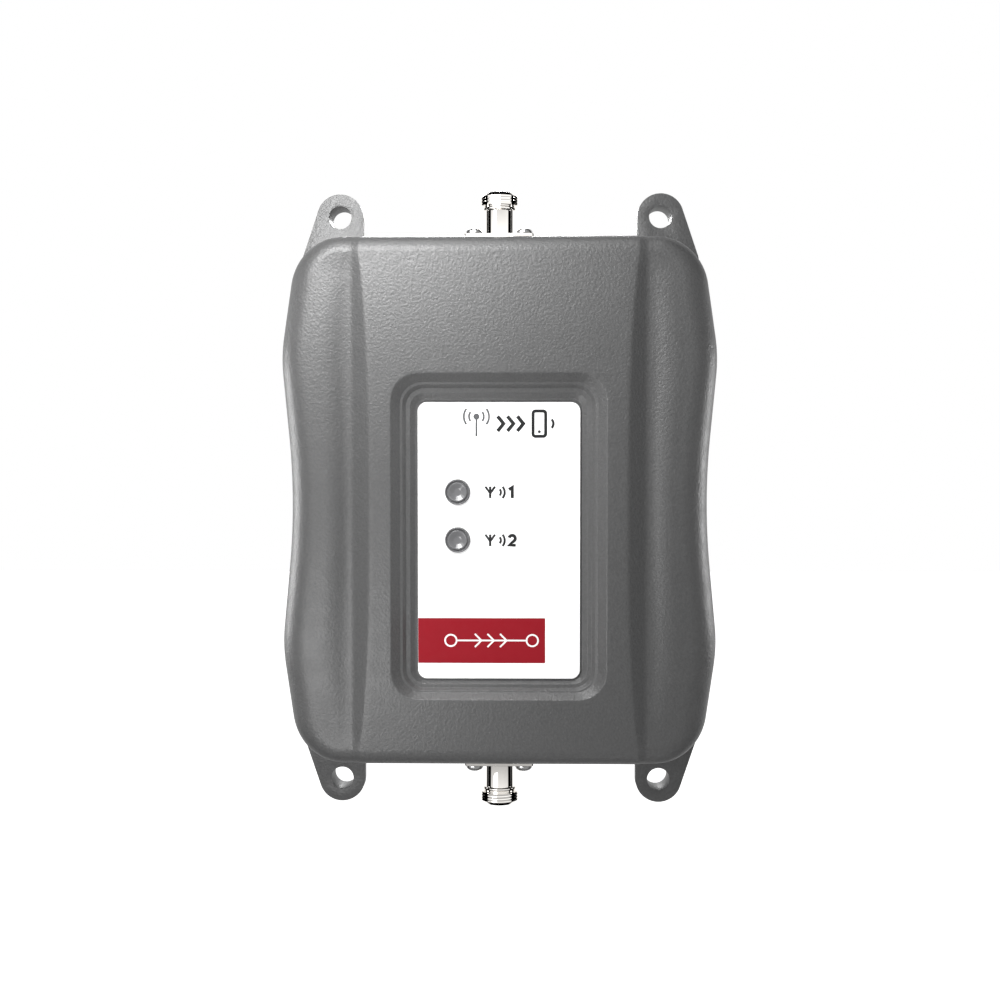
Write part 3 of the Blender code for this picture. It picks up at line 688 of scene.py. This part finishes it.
def place_on_rim(x, y, bounds):
    """Where a point of the hole's rectangle belongs on the rim: run or arc, side, and share or angle."""
    half, top, bottom, radius = RECESS[0]
    low, high = bounds
    half_arc = math.pi / 4
    if abs(abs(x) - HOLE_X) < 1e-3:
        side = 0 if x > 0 else 2
        start, stop = bottom + radius, top - radius
        along, low_end, high_end = y, low, high
    else:
        side = 1 if y > 0 else 3
        start, stop = -half + radius, half - radius
        along, low_end, high_end = x, -HOLE_X, HOLE_X
    forward = side in (0, 3)
    if start <= along <= stop:
        share = (along - start) / (stop - start)
        return "run", side, share if forward else 1 - share
    if along > stop:
        turn, on_own_arc = (along - stop) / (high_end - stop) * half_arc, forward
    else:
        turn, on_own_arc = (start - along) / (start - low_end) * half_arc, not forward
    return ("arc", side, turn) if on_own_arc else ("arc", (side - 1) % 4, 2 * half_arc - turn)


def add_vertex(bm, x, y, z):
    return bm.verts.new((MM * x, MM * y, MM * z))


def join_rings(bm, rings):
    """Adds the faces between each ring of vertices and the next, and closes the last."""
    for first, second in zip(rings, rings[1:]):
        for i in range(len(first)):
            follow = (i + 1) % len(first)
            bm.faces.new((first[i], first[follow], second[follow], second[i]))
    bm.faces.new(rings[-1])


def front_grid(bm, side, normals, draft):
    """Rows of vertices over the front, one at each point of the body's side, and the rows' heights."""
    grid, heights = [], []
    for (x, y), (nx, ny) in zip(side, normals):
        width = shoulder_of((nx, ny)) + draft
        edge_x, row_y = x - width * nx, y - width * ny
        columns = cover_columns(row_y, edge_x)
        grid.append([add_vertex(bm, cx, row_y, front_depth(cx, row_y, edge_x)) for cx in columns])
        heights.append(row_y)
    return grid, heights


def cover_front(bm, grid, heights):
    """Adds the faces round the recess; gives the ring at the hole and each vertex's place on the rim."""
    middle = len(grid[0]) // 2
    left, right = middle - HOLE_COLUMNS, middle + HOLE_COLUMNS
    low = max(i for i, y in enumerate(heights) if y < HOLE_Y[0])
    high = min(i for i, y in enumerate(heights) if y > HOLE_Y[1])
    for r, (below, above) in enumerate(zip(grid, grid[1:])):
        for i in range(len(below) - 1):
            if not (low <= r < high and left <= i < right):
                bm.faces.new((below[i], below[i + 1], above[i + 1], above[i]))
    hole = [grid[low][i] for i in range(left, right)] + [grid[r][right] for r in range(low, high)]
    hole += [grid[high][i] for i in range(right, left, -1)] + [grid[r][left] for r in range(high, low, -1)]
    places = [place_on_rim(v.co.x / MM, v.co.y / MM, (heights[low], heights[high])) for v in hole]
    return hole, places


def sink_recess(bm, hole, places):
    """Adds the stepped recess and the label's pocket. The panel's crown fades out down the first slope."""
    rings = [hole]
    for d, drop in recess_profile():
        size = recess_size(d)
        ring = []
        for place in places:
            x, y = on_rounded_box(size, place)
            level = PANEL + (panel_depth(y) - PANEL) * max(0.0, 1 + drop / 1.5)
            ring.append(add_vertex(bm, x, y, level + drop))
        rings.append(ring)
    join_rings(bm, rings)


def front_rim(grid, side, normals):
    """Round the front: each edge vertex with its point on the body's outline and the normal there."""
    edges = [(*point, *normal) for point, normal in zip(side, normals)]
    ends = range(1, len(grid[0]) - 1)
    rim = [(row[-1], *edge) for row, edge in zip(grid, edges)]
    rim += [(grid[-1][i], grid[-1][i].co.x / MM, HALF_HEIGHT, 0.0, 1.0) for i in reversed(ends)]
    rim += [(row[0], -x, y, -nx, ny) for row, (x, y, nx, ny) in reversed(list(zip(grid, edges)))]
    rim += [(grid[0][i], grid[0][i].co.x / MM, -HALF_HEIGHT, 0.0, -1.0) for i in ends]
    return rim


def wrap_sides(bm, rim, draft):
    """Adds the shoulder's round, the drafted side, the rear edge and the inside up to its ceiling."""
    rings = [[station[0] for station in rim]]
    for angle in range(81, -1, -9):
        turn = math.radians(angle)
        ring = []
        for top, x, y, nx, ny in rim:
            width = shoulder_of((nx, ny))
            back = draft + width * (1 - math.cos(turn))
            z = top.co.z / MM - width * (1 - math.sin(turn))
            ring.append(add_vertex(bm, x - back * nx, y - back * ny, z))
        rings.append(ring)
    for back, z in ((0.12, COVER_REAR + 0.35), (0.45, COVER_REAR), (WALL, COVER_REAR), (WALL + 1.6, CEILING)):
        rings.append([add_vertex(bm, x - back * nx, y - back * ny, z) for _, x, y, nx, ny in rim])
    join_rings(bm, rings)


def cover_shell():
    side = right_side(1.5)
    normals = normals_of(body_outline(1.5))[: len(side)]
    normals[0], normals[-1] = (0.0, -1.0), (0.0, 1.0)
    draft = DRAFT * (CREST - SIDE_SHOULDER - COVER_REAR)
    bm = bmesh.new()
    grid, heights = front_grid(bm, side, normals, draft)
    sink_recess(bm, *cover_front(bm, grid, heights))
    wrap_sides(bm, front_rim(grid, side, normals), draft)
    bmesh.ops.recalc_face_normals(bm, faces=bm.faces)
    return bm


def end_blocks(start, stop, depths, margin=0.0):
    """A block across each end panel, from one height to another, with a margin at its sides."""
    blocks = []
    for half_width, end in END_PANELS:
        reach = half_width + margin
        blocks.append(block((-reach, reach), sorted((end * start, end * stop)), depths))
    return blocks


def build_cover():
    steps = cut(end_blocks(HALF_HEIGHT - 7.5, HALF_HEIGHT + 6.0, (SEAM - 2, PORT_PANEL_TOP + 0.3), 0.3))
    steps += cut(rod(x, y, PIPE_HOLE_RADIUS, CEILING - 3, PANEL) for x, y, _ in LENSES)
    steps += join(rod(x, y, BOSS_RADIUS, COVER_REAR + 0.1, CEILING + 1.1) for x, y in COVER_SCREWS)
    steps += cut(rod(x, y, SCREW_BORE, SEAM, COVER_REAR + 11.0) for x, y in COVER_SCREWS)
    shell = shaped(cover_shell(), steps)
    piece("front_cover_shell", shell, "paint", ("front_cover",), angle=40.0)


# Rear housing.


def lug_figure(side, end):
    (x, y), radius = LUG_HOLE, LUG_RADIUS
    dx, dy = LUG_SHOULDER[0] - x, LUG_SHOULDER[1] - y
    lean = math.acos(radius / math.hypot(dx, dy)) + math.atan2(dy, dx)
    top = y + radius
    outer_x = x + (radius - radius * math.sin(lean)) / math.cos(lean)
    corners = [(x - radius, LUG_ROOT[1], 0, 0), (*LUG_ROOT, 0, 0), (*LUG_SHOULDER, 8.0, 6)]
    corners += [(outer_x, top, radius, 18), (x - radius, top, radius, 20)]
    figure = [(side * px, end * py) for px, py in rounded_figure(corners)]
    return figure if side * end > 0 else figure[::-1]


def lug_parts(side, end):
    """A lug's plate, the boss behind its hole and the rib that ties the boss to the body."""
    x, y = side * LUG_HOLE[0], end * LUG_HOLE[1]
    half, root = LUG_RIB
    front = LUG_THICKNESS - LUG_PLATE
    boss = rod(x, y, LUG_BOSS_RADIUS, 0.0, front + 1.0)
    rib = block((x - half, x + half), sorted((end * root, y)), (1.0, front + 0.8))
    return [prism(lug_figure(side, end), front, LUG_THICKNESS), boss, rib]


def housing_tray():
    """The tray as a solid block, with a rounded back edge."""
    outline = body_outline()
    loops = []
    for angle in range(0, 91, 15):
        turn = math.radians(angle)
        back = BACK_STEP + BACK_ROUND * (1 - math.sin(turn))
        loops.append(at(inset(outline, back), BACK_ROUND * (1 - math.cos(turn))))
    loops.append(at(outline, SEAM))
    return skin(loops)


def grown_block(node, margin, span):
    """A block over a node's width and height, grown by a margin, between two depths."""
    low, high = low_high(node)
    return block((low[0] - margin, high[0] + margin), (low[1] - margin, high[1] + margin), span)


def housing_bosses():
    """The heat pedestal, and the bosses for the cover's and the board's screws."""
    pad_rear = low_high("thermal_pad")[0][2]
    parts = [grown_block("thermal_pad", 2, (FLOOR - 1, pad_rear - 0.1))]
    parts += [rod(x, y, SEAM_BOSS_RADIUS, FLOOR - 1, SEAM - 0.05) for x, y in COVER_SCREWS]
    parts += [rod(x, y, BOSS_RADIUS, FLOOR - 1, BOARD_REAR - 0.1) for x, y in BOARD_SCREWS]
    return parts


def housing_holes(corners):
    """Holes for wall screws, the case's own screws, ports, dials and jack, and the rating label's pocket."""
    hole_x, hole_y = LUG_HOLE
    parts = [rod(s * hole_x, e * hole_y, LUG_HOLE_RADIUS, -2, LUG_THICKNESS + 2) for s, e in corners]
    sink = [(0, -1), (3.3, -1), (3.3, 3.3), (1.7, 3.3), (1.7, SEAM + 1), (0, SEAM + 1)]
    parts += [lathe(sink, 40, x, y) for x, y in COVER_SCREWS]
    parts += [rod(x, y, SCREW_BORE, 8.0, BOARD_REAR + 3) for x, y in BOARD_SCREWS]
    for end in (1, -1):
        parts.append(through_wall(0, PORT_DEPTH, 6.0, end))
        parts += [through_wall(x, PORT_DEPTH + z, SCREW_BORE, end, 24) for x, z in FLANGE_CORNERS]
    parts += [through_wall(x, z, DIAL_HOLE_RADIUS, -1) for x, _, z in DIALS.values()]
    parts.append(through_wall(JACK[0], JACK[2], JACK_HOLE_RADIUS, -1))
    parts.append(grown_block("rating_label", 0.3, (-1, 0.4)))
    return parts


def build_housing():
    corners = [(side, end) for side in (1, -1) for end in (1, -1)]
    steps = join(part for corner in corners for part in lug_parts(*corner))
    steps += cut([prism(inset(body_outline(), HOUSING_WALL), FLOOR, SEAM + 3)])
    steps += join(end_blocks(PORT_FACE - PORT_WALL, PORT_FACE, (1.5, PORT_PANEL_TOP)))
    steps += cut(end_blocks(PORT_FACE, HALF_HEIGHT + 4.0, (-2, PORT_PANEL_TOP + 2)))
    steps += join(housing_bosses()) + cut(housing_holes(corners))
    shell = shaped(housing_tray(), steps, bevel=0.55, angle=38.0)
    piece("rear_housing_casting", shell, "paint", ("rear_housing",), angle=40.0)


# Front label: a plate with a thin raised print.


def plate(figure_at, low, high, edge):
    """A plate whose front edge is rounded; figure_at(grow) is its outline, grown or shrunk."""
    loops = [at(figure_at(0.0), low), at(figure_at(0.0), high - edge)]
    for angle in (30, 60, 90):
        turn = math.radians(angle)
        loops.append(at(figure_at(-edge * (1 - math.cos(turn))), high - edge + edge * math.sin(turn)))
    return skin(loops)


def stroke(points, width, low, high, closed=False):
    """A raised ribbon along a line of points, mitred at its corners."""
    count = len(points)
    left, right = [], []
    for i, (x, y) in enumerate(points):
        units = []
        if closed or i > 0:
            units.append(heading(points[i - 1], (x, y)))
        if closed or i < count - 1:
            units.append(heading((x, y), points[(i + 1) % count]))
        sx, sy = sum(u[0] for u in units), sum(u[1] for u in units)
        length = math.hypot(sx, sy)
        tx, ty = sx / length, sy / length
        reach = width / 2 / max(0.5, tx * units[0][0] + ty * units[0][1])
        left.append((x - ty * reach, y + tx * reach))
        right.append((x + ty * reach, y - tx * reach))
    loops = [[(*l, low), (*r, low), (*r, high), (*l, high)] for l, r in zip(left, right)]
    return skin(loops, closed)


def arc(x, y, radius, start, stop, steps=20):
    angles = (math.radians(start + (stop - start) * k / steps) for k in range(steps + 1))
    return [(x + radius * math.cos(a), y + radius * math.sin(a)) for a in angles]


def merged(parts):
    whole = bmesh.new()
    for part in parts:
        mesh = mesh_of(part, "part")
        whole.from_mesh(mesh)
        bpy.data.meshes.remove(mesh)
    return whole


def numeral(which, x, y, height):
    """The strokes of a 1 or a 2 whose lower left corner is (x, y)."""
    if which == 1:
        return [(x, y + 0.74 * height), (x + 0.3 * height, y + height * 0.93), (x + 0.3 * height, y)]
    top = arc(x + 0.29 * height, y + 0.66 * height, 0.27 * height, 165, -35, 14)
    return top + [(x + 0.05 * height, y + 0.08 * height), (x + 0.6 * height, y + 0.08 * height)]


def build_label():
    half = (LABEL_HIGH[0] - LABEL_LOW[0]) / 2
    top, bottom, radius = LABEL_HIGH[1], LABEL_LOW[1], 3.3

    def figure_at(grow):
        return rounded_box(half + grow, top + grow, bottom - grow, radius + grow)

    holes = cut(rod(x, y, LENS_HOLE_RADIUS, LABEL_LOW[2] - 1, LABEL_HIGH[2] + 1) for x, y, _ in LENSES)
    sheet = shaped(plate(figure_at, LABEL_LOW[2], LABEL_HIGH[2], 0.12), holes)
    piece("front_label_plate", sheet, "label", ("front_label",))
    face = LABEL_HIGH[2] + INK_LIFT
    build_strip(0.05 - half, face)
    build_booster_mark(face, face + INK)
    build_channel_marks(face, face + INK)


def build_strip(left, face):
    """The red strip, and on it two rings joined by a line with arrowheads."""
    (bottom, top), ink, y = STRIP_SPAN, face + INK, STRIP_MARK_Y
    strip = rounded_figure([(STRIP_RIGHT, bottom, 0.3, 3), (STRIP_RIGHT, top, 0.3, 3), (left, top, 0.2, 3),
                            (left, bottom, 0.2, 3)])
    piece("label_red_strip", prism(strip, face, ink), "red")
    low, high = ink + INK_LIFT, ink + INK
    marks = [stroke(circle(x, y, 2.1, 40), 0.6, low, high, closed=True) for x in (-17.6, 12.2)]
    marks.append(stroke([(-15.2, y), (9.8, y)], 0.6, low, high))
    for x in (-7.4, -2.8, 1.8):
        chevron = [(x - 1.4, y + 2.4), (x + 1.0, y), (x - 1.4, y - 2.4)]
        marks.append(stroke(chevron, 0.6, ink + 0.032, ink + 0.05))
    piece("label_strip_marks", merged(marks), "white_ink")


def build_channel_marks(low, high):
    """Beside each lens an antenna, two waves and the channel's number."""
    tall = 4.2
    channels = []
    for which, (_, y, _) in zip((1, 2), LENSES):
        base = y - 2.2
        channels += antenna(-3.2, base, tall, 0.85, low)
        for radius in (1.7, 3.1):
            channels.append(stroke(arc(-1.0, base + tall / 2, radius, -42, 42, 10), 0.8, low, high))
        channels.append(stroke(numeral(which, 3.6, base, tall), 1.15, low, high))
    piece("label_channel_marks", merged(channels), "ink")


def antenna(x, base, height, width, low):
    """A mast with two arms, as flat strokes."""
    fork = base + 0.42 * height
    strokes = [stroke([(x, base), (x, base + height)], width, low, low + 0.03)]
    for side, lift in ((-1, 0.032), (1, 0.062)):
        arm = [(x + side * 0.42 * height, base + height), (x, fork)]
        strokes.append(stroke(arm, width * 0.9, low + lift, low + lift + 0.02))
    return strokes


def build_booster_mark(low, high):
    """A picture of what the part does: a mast and its waves, arrows, and a handset."""
    middle = 28.4
    mast_x, mast_y = -8.2, middle + 2.6
    thin = [prism(circle(mast_x, mast_y, 1.1, 28), low, high)]
    thin.append(stroke([(mast_x, middle + 2.0), (mast_x, middle - 4.6)], 0.7, low - 0.03, low + 0.01))
    for radius in (2.7, 4.6):
        for side in (0, 180):
            thin.append(stroke(arc(mast_x, mast_y, radius, side - 38, side + 38, 14), 0.7, low, high))
    piece("label_mast_mark", merged(thin), "grey_ink")
    bold = []
    for x in (0.6, 4.2, 7.8):
        arrow = [(x - 1.1, middle + 2.7), (x + 1.1, middle), (x - 1.1, middle - 2.7)]
        bold.append(stroke(arrow, 1.3, low, high))
    handset = rounded_box(2.3, middle + 4.6, middle - 4.6, 0.9, 4, middle=14.7)
    bold.append(stroke(handset, 1.1, low, high, closed=True))
    bold.append(prism(circle(14.7, middle - 2.9, 0.55, 20), low, high))
    bold.append(stroke(arc(17.6, middle, 2.2, -45, 45, 10), 0.9, low, high))
    piece("label_arrow_and_handset_mark", merged(bold), "ink")


def build_lenses():
    """Each lens is a ring round a dished face, on a stem that reaches back to its lamp."""
    for name in ("upper", "lower"):
        node = f"light_pipe_{name}"
        low, high = low_high(node)
        x, y, _ = centre_of(node)
        stem, seat, face = 2.5, POCKET_FLOOR + 0.1, high[2] - 0.1
        radius = (high[0] - low[0]) / 2
        corners = [(0, low[2], 0), (stem, low[2], 0.2), (stem, seat, 0), (radius, seat, 0)]
        corners += [(radius, face, 0.12), (radius - 0.25, face, 0.1), (radius - 0.6, face - 0.7, 0.1)]
        corners += [(radius - 0.85, face - 0.7, 0.1), (radius - 1.05, face - 0.05, 0.2)]
        corners += [(radius - 1.45, face - 0.1, 0.3), (radius * 0.3, face - 1.0, 1.6), (0, face - 1.1, 0)]
        lens = lathe(rounded_path(corners, 6), 72, x, y)
        piece(f"status_lens_{name}", lens, "lens", (node,))


# Screws, ports and controls: each is built along z, then posed.


def screw_shape(radius, height, shank, length):
    """A domed head with a crossed recess, on a plain shank; the head's seat is at z 0."""
    profile = [(0, height, 0)]
    for angle in range(80, 9, -10):
        turn = math.radians(angle)
        profile.append((radius * math.cos(turn), height * (0.25 + 0.75 * math.sin(turn)), 0))
    profile += [(radius, 0.25 * height, 0), (radius, 0, 0), (shank, 0, 0), (shank, -length, 0.3)]
    profile.append((0, -length, 0))
    arm, width, span = 0.56 * radius, 0.13 * radius, (0.3 * height, 2 * height)
    steps = cut([block((-arm, arm), (-width, width), span), block((-width, width), (-arm, arm), span)])
    head = shaped(lathe(rounded_path(profile), 40), steps, bevel=0.06, segments=2)
    return mesh_of(head, "screw")


def thread_radius(z, angle):
    """Radius of a single-start thread, which fades in and out over 0.6 of a pitch at its ends."""
    (start, stop), run = THREAD_SPAN, 0.6 * THREAD_PITCH
    phase = (z / THREAD_PITCH - angle / (2 * math.pi)) % 1.0
    wave = min(1.0, max(0.0, 1.6 * abs(2 * phase - 1) - 0.3))
    fade = min(1.0, max(0.0, (z - start) / run), max(0.0, (stop - z) / run))
    return THREAD_CREST - THREAD_DEPTH * (1 - wave) * fade


def port_shape():
    """Body of a coaxial port with its threaded barrel, mouth and bore."""
    start, stop = THREAD_SPAN
    steps, rows, stub, tip = 120, 60, PORT_STUB, PORT_TIP
    outside = [(3.5, stub, 0), (5.6, stub, 0.3), (5.6, 1.2, 0), (5.3, 1.2, 0), (5.3, 12.2, 0.25)]
    outside += [(6.3, 12.2, 0.3), (6.3, 13.2, 0.3), (5.9, 13.2, 0.1), (5.9, start, 0.1)]
    outside.append((THREAD_CREST, start, 0))
    inside = [(THREAD_CREST, stop, 0), (6.0, tip, 0.25), (4.45, tip, 0.3), (4.45, tip - 9.5, 0.2)]
    inside += [(3.5, tip - 9.5, 0.1), (3.5, stub, 0)]
    loops = [at(circle(0, 0, radius, steps), z) for radius, z in rounded_path(outside, 3)]
    turns = [2 * math.pi * j / steps for j in range(steps)]
    for k in range(rows + 1):
        z = start + (stop - start) * k / rows
        radii = [thread_radius(z, a) for a in turns]
        loops.append([(r * math.cos(a), r * math.sin(a), z) for r, a in zip(radii, turns)])
    loops += [at(circle(0, 0, radius, steps), z) for radius, z in rounded_path(inside, 3)[1:-1]]
    return skin(loops, closed=True)


def flange_shape():
    def figure_at(grow):
        half = FLANGE_HALF + grow
        return rounded_box(half, half, -half, 1.2 + grow, 6)

    holes = [rod(0, 0, 5.62, -1, 4, 120)] + [rod(x, y, 1.7, -1, 4, 32) for x, y in FLANGE_CORNERS]
    return shaped(plate(figure_at, 0.1, FLANGE_THICKNESS, 0.25), cut(holes))


def insulator_shape():
    tip = PORT_TIP
    rings = [(3.35, -6.4, 0), (3.35, tip - 6.8, 0.2), (1.75, tip - 6.8, 0.1), (1.75, tip - 8.5, 0)]
    rings += [(0.95, tip - 8.5, 0), (0.95, -6.4, 0)]
    return lathe(rounded_path(rings, 3), 48, closed=True)


def contact_shape():
    """A pin whose outer end is a bored socket, slit in four."""
    tip = PORT_TIP
    pin = [(0, -11.8, 0), (0.8, -11.8, 0.1), (0.8, tip - 8.3, 0), (1.6, tip - 8.3, 0.1)]
    pin += [(1.6, tip - 2.2, 0.25), (0.85, tip - 2.2, 0.15), (0.85, tip - 7.2, 0), (0, tip - 7.2, 0)]
    long, thin, span = (-2, 2), (-0.12, 0.12), (tip - 6.5, tip)
    return shaped(lathe(rounded_path(pin, 3), 40), cut([block(long, thin, span), block(thin, long, span)]))


def build_ports():
    screw = screw_shape(*PORT_SCREW)
    parts = [("barrel", "body", "nickel", mesh_of(port_shape(), "barrel"), 32.0),
             ("flange", "body", "nickel", mesh_of(flange_shape(), "flange"), 35.0),
             ("dielectric", "insulator", "fluoropolymer", mesh_of(insulator_shape(), "dielectric"), 35.0),
             ("socket", "contact", "gold", mesh_of(contact_shape(), "socket"), 35.0)]
    for name, end in (("outside_port", 1), ("inside_port", -1)):
        pose = end_frame(0, end * PORT_FACE, PORT_DEPTH, end)
        for part, node, look, mesh, angle in parts:
            piece(f"{name}_{part}", mesh, look, (f"{name}_{node}",), pose=pose, angle=angle)
        for number in range(1, 5):
            node = f"{name}_screw_{number}"
            x, _, z = centre_of(node)
            turn = Matrix.Rotation(math.radians(37 * number + 15 * end), 4, "Z")
            place = end_frame(x, end * (PORT_FACE + FLANGE_THICKNESS + 0.1), z, end) @ turn
            piece(f"{node}_head", screw, "steel", (node,), pose=place)


def build_cover_screws():
    screw, length = screw_shape(*COVER_SCREW), COVER_SCREW[-1]
    for number, (x, y) in enumerate(COVER_SCREWS, 1):
        node = f"cover_screw_{number}"
        seat = low_high(node)[1][2] - length
        place = Matrix.Translation((MM * x, MM * y, MM * seat)) @ Matrix.Rotation(math.pi, 4, "X")
        turn = Matrix.Rotation(math.radians(53 * number), 4, "Z")
        piece(f"{node}_head", screw, "steel", (node,), pose=place @ turn)


def dial_shape():
    """A capped spindle with a screwdriver slot that runs to one side, so that it points."""
    profile = [(0, -0.4, 0), (2.75, -0.4, 0.15), (3.0, -0.7, 0.1), (3.0, -3.7, 0.1), (1.6, -3.7, 0)]
    profile += [(1.6, -10.5, 0.2), (0, -10.5, 0)]
    slot = cut([block((-0.45, 0.45), (-1.3, 2.4), (-1.7, 1))])
    return shaped(lathe(rounded_path(profile, 3), 64), slot, bevel=0.08, segments=2, angle=50.0)


def dial_scale():
    """Seven ticks round a dial, 45 degrees apart, with the end ones longer."""
    ticks = []
    for k in range(7):
        angle = math.radians(-45 + 45 * k)
        across, up = math.cos(angle), math.sin(angle)
        near, far = 4.2, 5.4 if k in (0, 6) else 4.9
        ticks.append(stroke([(near * across, near * up), (far * across, far * up)], 0.3, 0.005, 0.03))
    return merged(ticks)


def build_dials():
    dial = mesh_of(dial_shape(), "dial")
    for name, (x, _, z) in DIALS.items():
        pose = end_frame(x, -PORT_FACE, z, -1)
        node, body = f"gain_dial_band_{name}", f"dial_band_{name}"
        piece(f"gain_dial_{name}_cap", dial, "dial", (node,), body=body, pose=pose)
        piece(f"gain_scale_{name}", dial_scale(), "white_ink", pose=pose)


# Light, camera and floor.


def area_light(name, place, width, power):
    data = bpy.data.lights.new(name, "AREA")
    data.size = width
    data.energy = power
    obj = bpy.data.objects.new(name, data)
    obj.location = place
    obj.visible_camera = False
    # The lamp below is too strong for polished metal to mirror.
    obj.visible_glossy = name != "below"
    bpy.context.scene.collection.objects.link(obj)
    direction = Vector((0.2 * place[0], 0.0, 0.2 * place[2])) - obj.location
    obj.rotation_euler = direction.to_track_quat("-Z", "Y").to_euler()


def build_camera():
    data = bpy.data.cameras.new("camera")
    data.lens = LENS
    data.clip_start = 0.01
    obj = bpy.data.objects.new("camera", data)
    bpy.context.scene.collection.objects.link(obj)
    yaw = Matrix.Rotation(math.atan(NORMAL_ACROSS), 4, "Z")
    pitch = Matrix.Rotation(math.pi / 2 - math.atan(NORMAL_UP), 4, "X")
    obj.matrix_world = Matrix.Translation(CAMERA_AT) @ yaw @ pitch
    bpy.context.scene.camera = obj


def build_world():
    """White to the eye, and as light bright in front and behind with a dark gap between them at the sides."""
    world = bpy.data.worlds.new("studio")
    world.use_nodes = True
    bpy.context.scene.world = world
    tree = world.node_tree
    direction = add_node(tree, "ShaderNodeTexCoord", "Generated")
    axes = add_node(tree, "ShaderNodeSeparateXYZ", "X", {"Vector": direction}).node.outputs

    def step(axis, *limits):
        return map_range(tree, axes[axis], *limits)

    def combine(operation, first, second):
        return add_node(tree, "ShaderNodeMath", "Value", {0: first, 1: second}, operation=operation)

    def choose(ray, other, own):
        """One strength for a kind of ray, and another for all other rays."""
        path = add_node(tree, "ShaderNodeLightPath", ray)
        return add_node(tree, "ShaderNodeMix", "Result", {"Factor": path, "A": other, "B": own})

    front = step("Y", -0.35, -0.1, WORLD_FRONT, 0.0)
    around = combine("ADD", front, step("Y", 0.35, 0.6, WORLD_SIDE, WORLD_BEHIND))
    dimmed = step("Z", -0.2, 0.1, MIRROR_LOW, 1.0)
    card = combine("MULTIPLY", step("Y", -0.32, -0.24, MIRROR_FRONT, 0.0), dimmed)
    mirrored = combine("ADD", card, step("Y", 0.58, 0.68, 0.0, MIRROR_BEHIND))
    strength = choose("Is Camera Ray", choose("Is Singular Ray", around, mirrored), 1.0)
    background = tree.nodes["Background"]
    background.inputs["Color"].default_value = (1, 1, 1, 1)
    tree.links.new(strength, background.inputs["Strength"])


def build_floor():
    """Pale floor that shows as bright to the eye as the backdrop."""
    bm = bmesh.new()
    bmesh.ops.create_grid(bm, x_segments=4, y_segments=4, size=6.0)
    floor = temporary(bm, "floor")
    floor.location = (0, 0, CAD_BOX[0][2] - FLOOR_DROP)
    look = Look("floor_pale", (0.9, 0.9, 0.9), 0.9, Emission_Color=(1, 1, 1, 1))
    look.tint(look.noise(400.0), 0.99, 1.0)
    look.drive("Emission Strength", look.node("ShaderNodeLightPath", "Is Camera Ray"))
    floor.data.materials.append(look.material)
    floor.visible_glossy = False


def build_studio():
    build_world()
    build_floor()
    for name, lamp in LAMPS.items():
        area_light(name, *lamp)
    bpy.context.scene.view_settings.view_transform = "Standard"


dress_frame()
build_cover()
build_housing()
build_label()
build_lenses()
build_ports()
build_cover_screws()
build_dials()
build_camera()
build_studio()
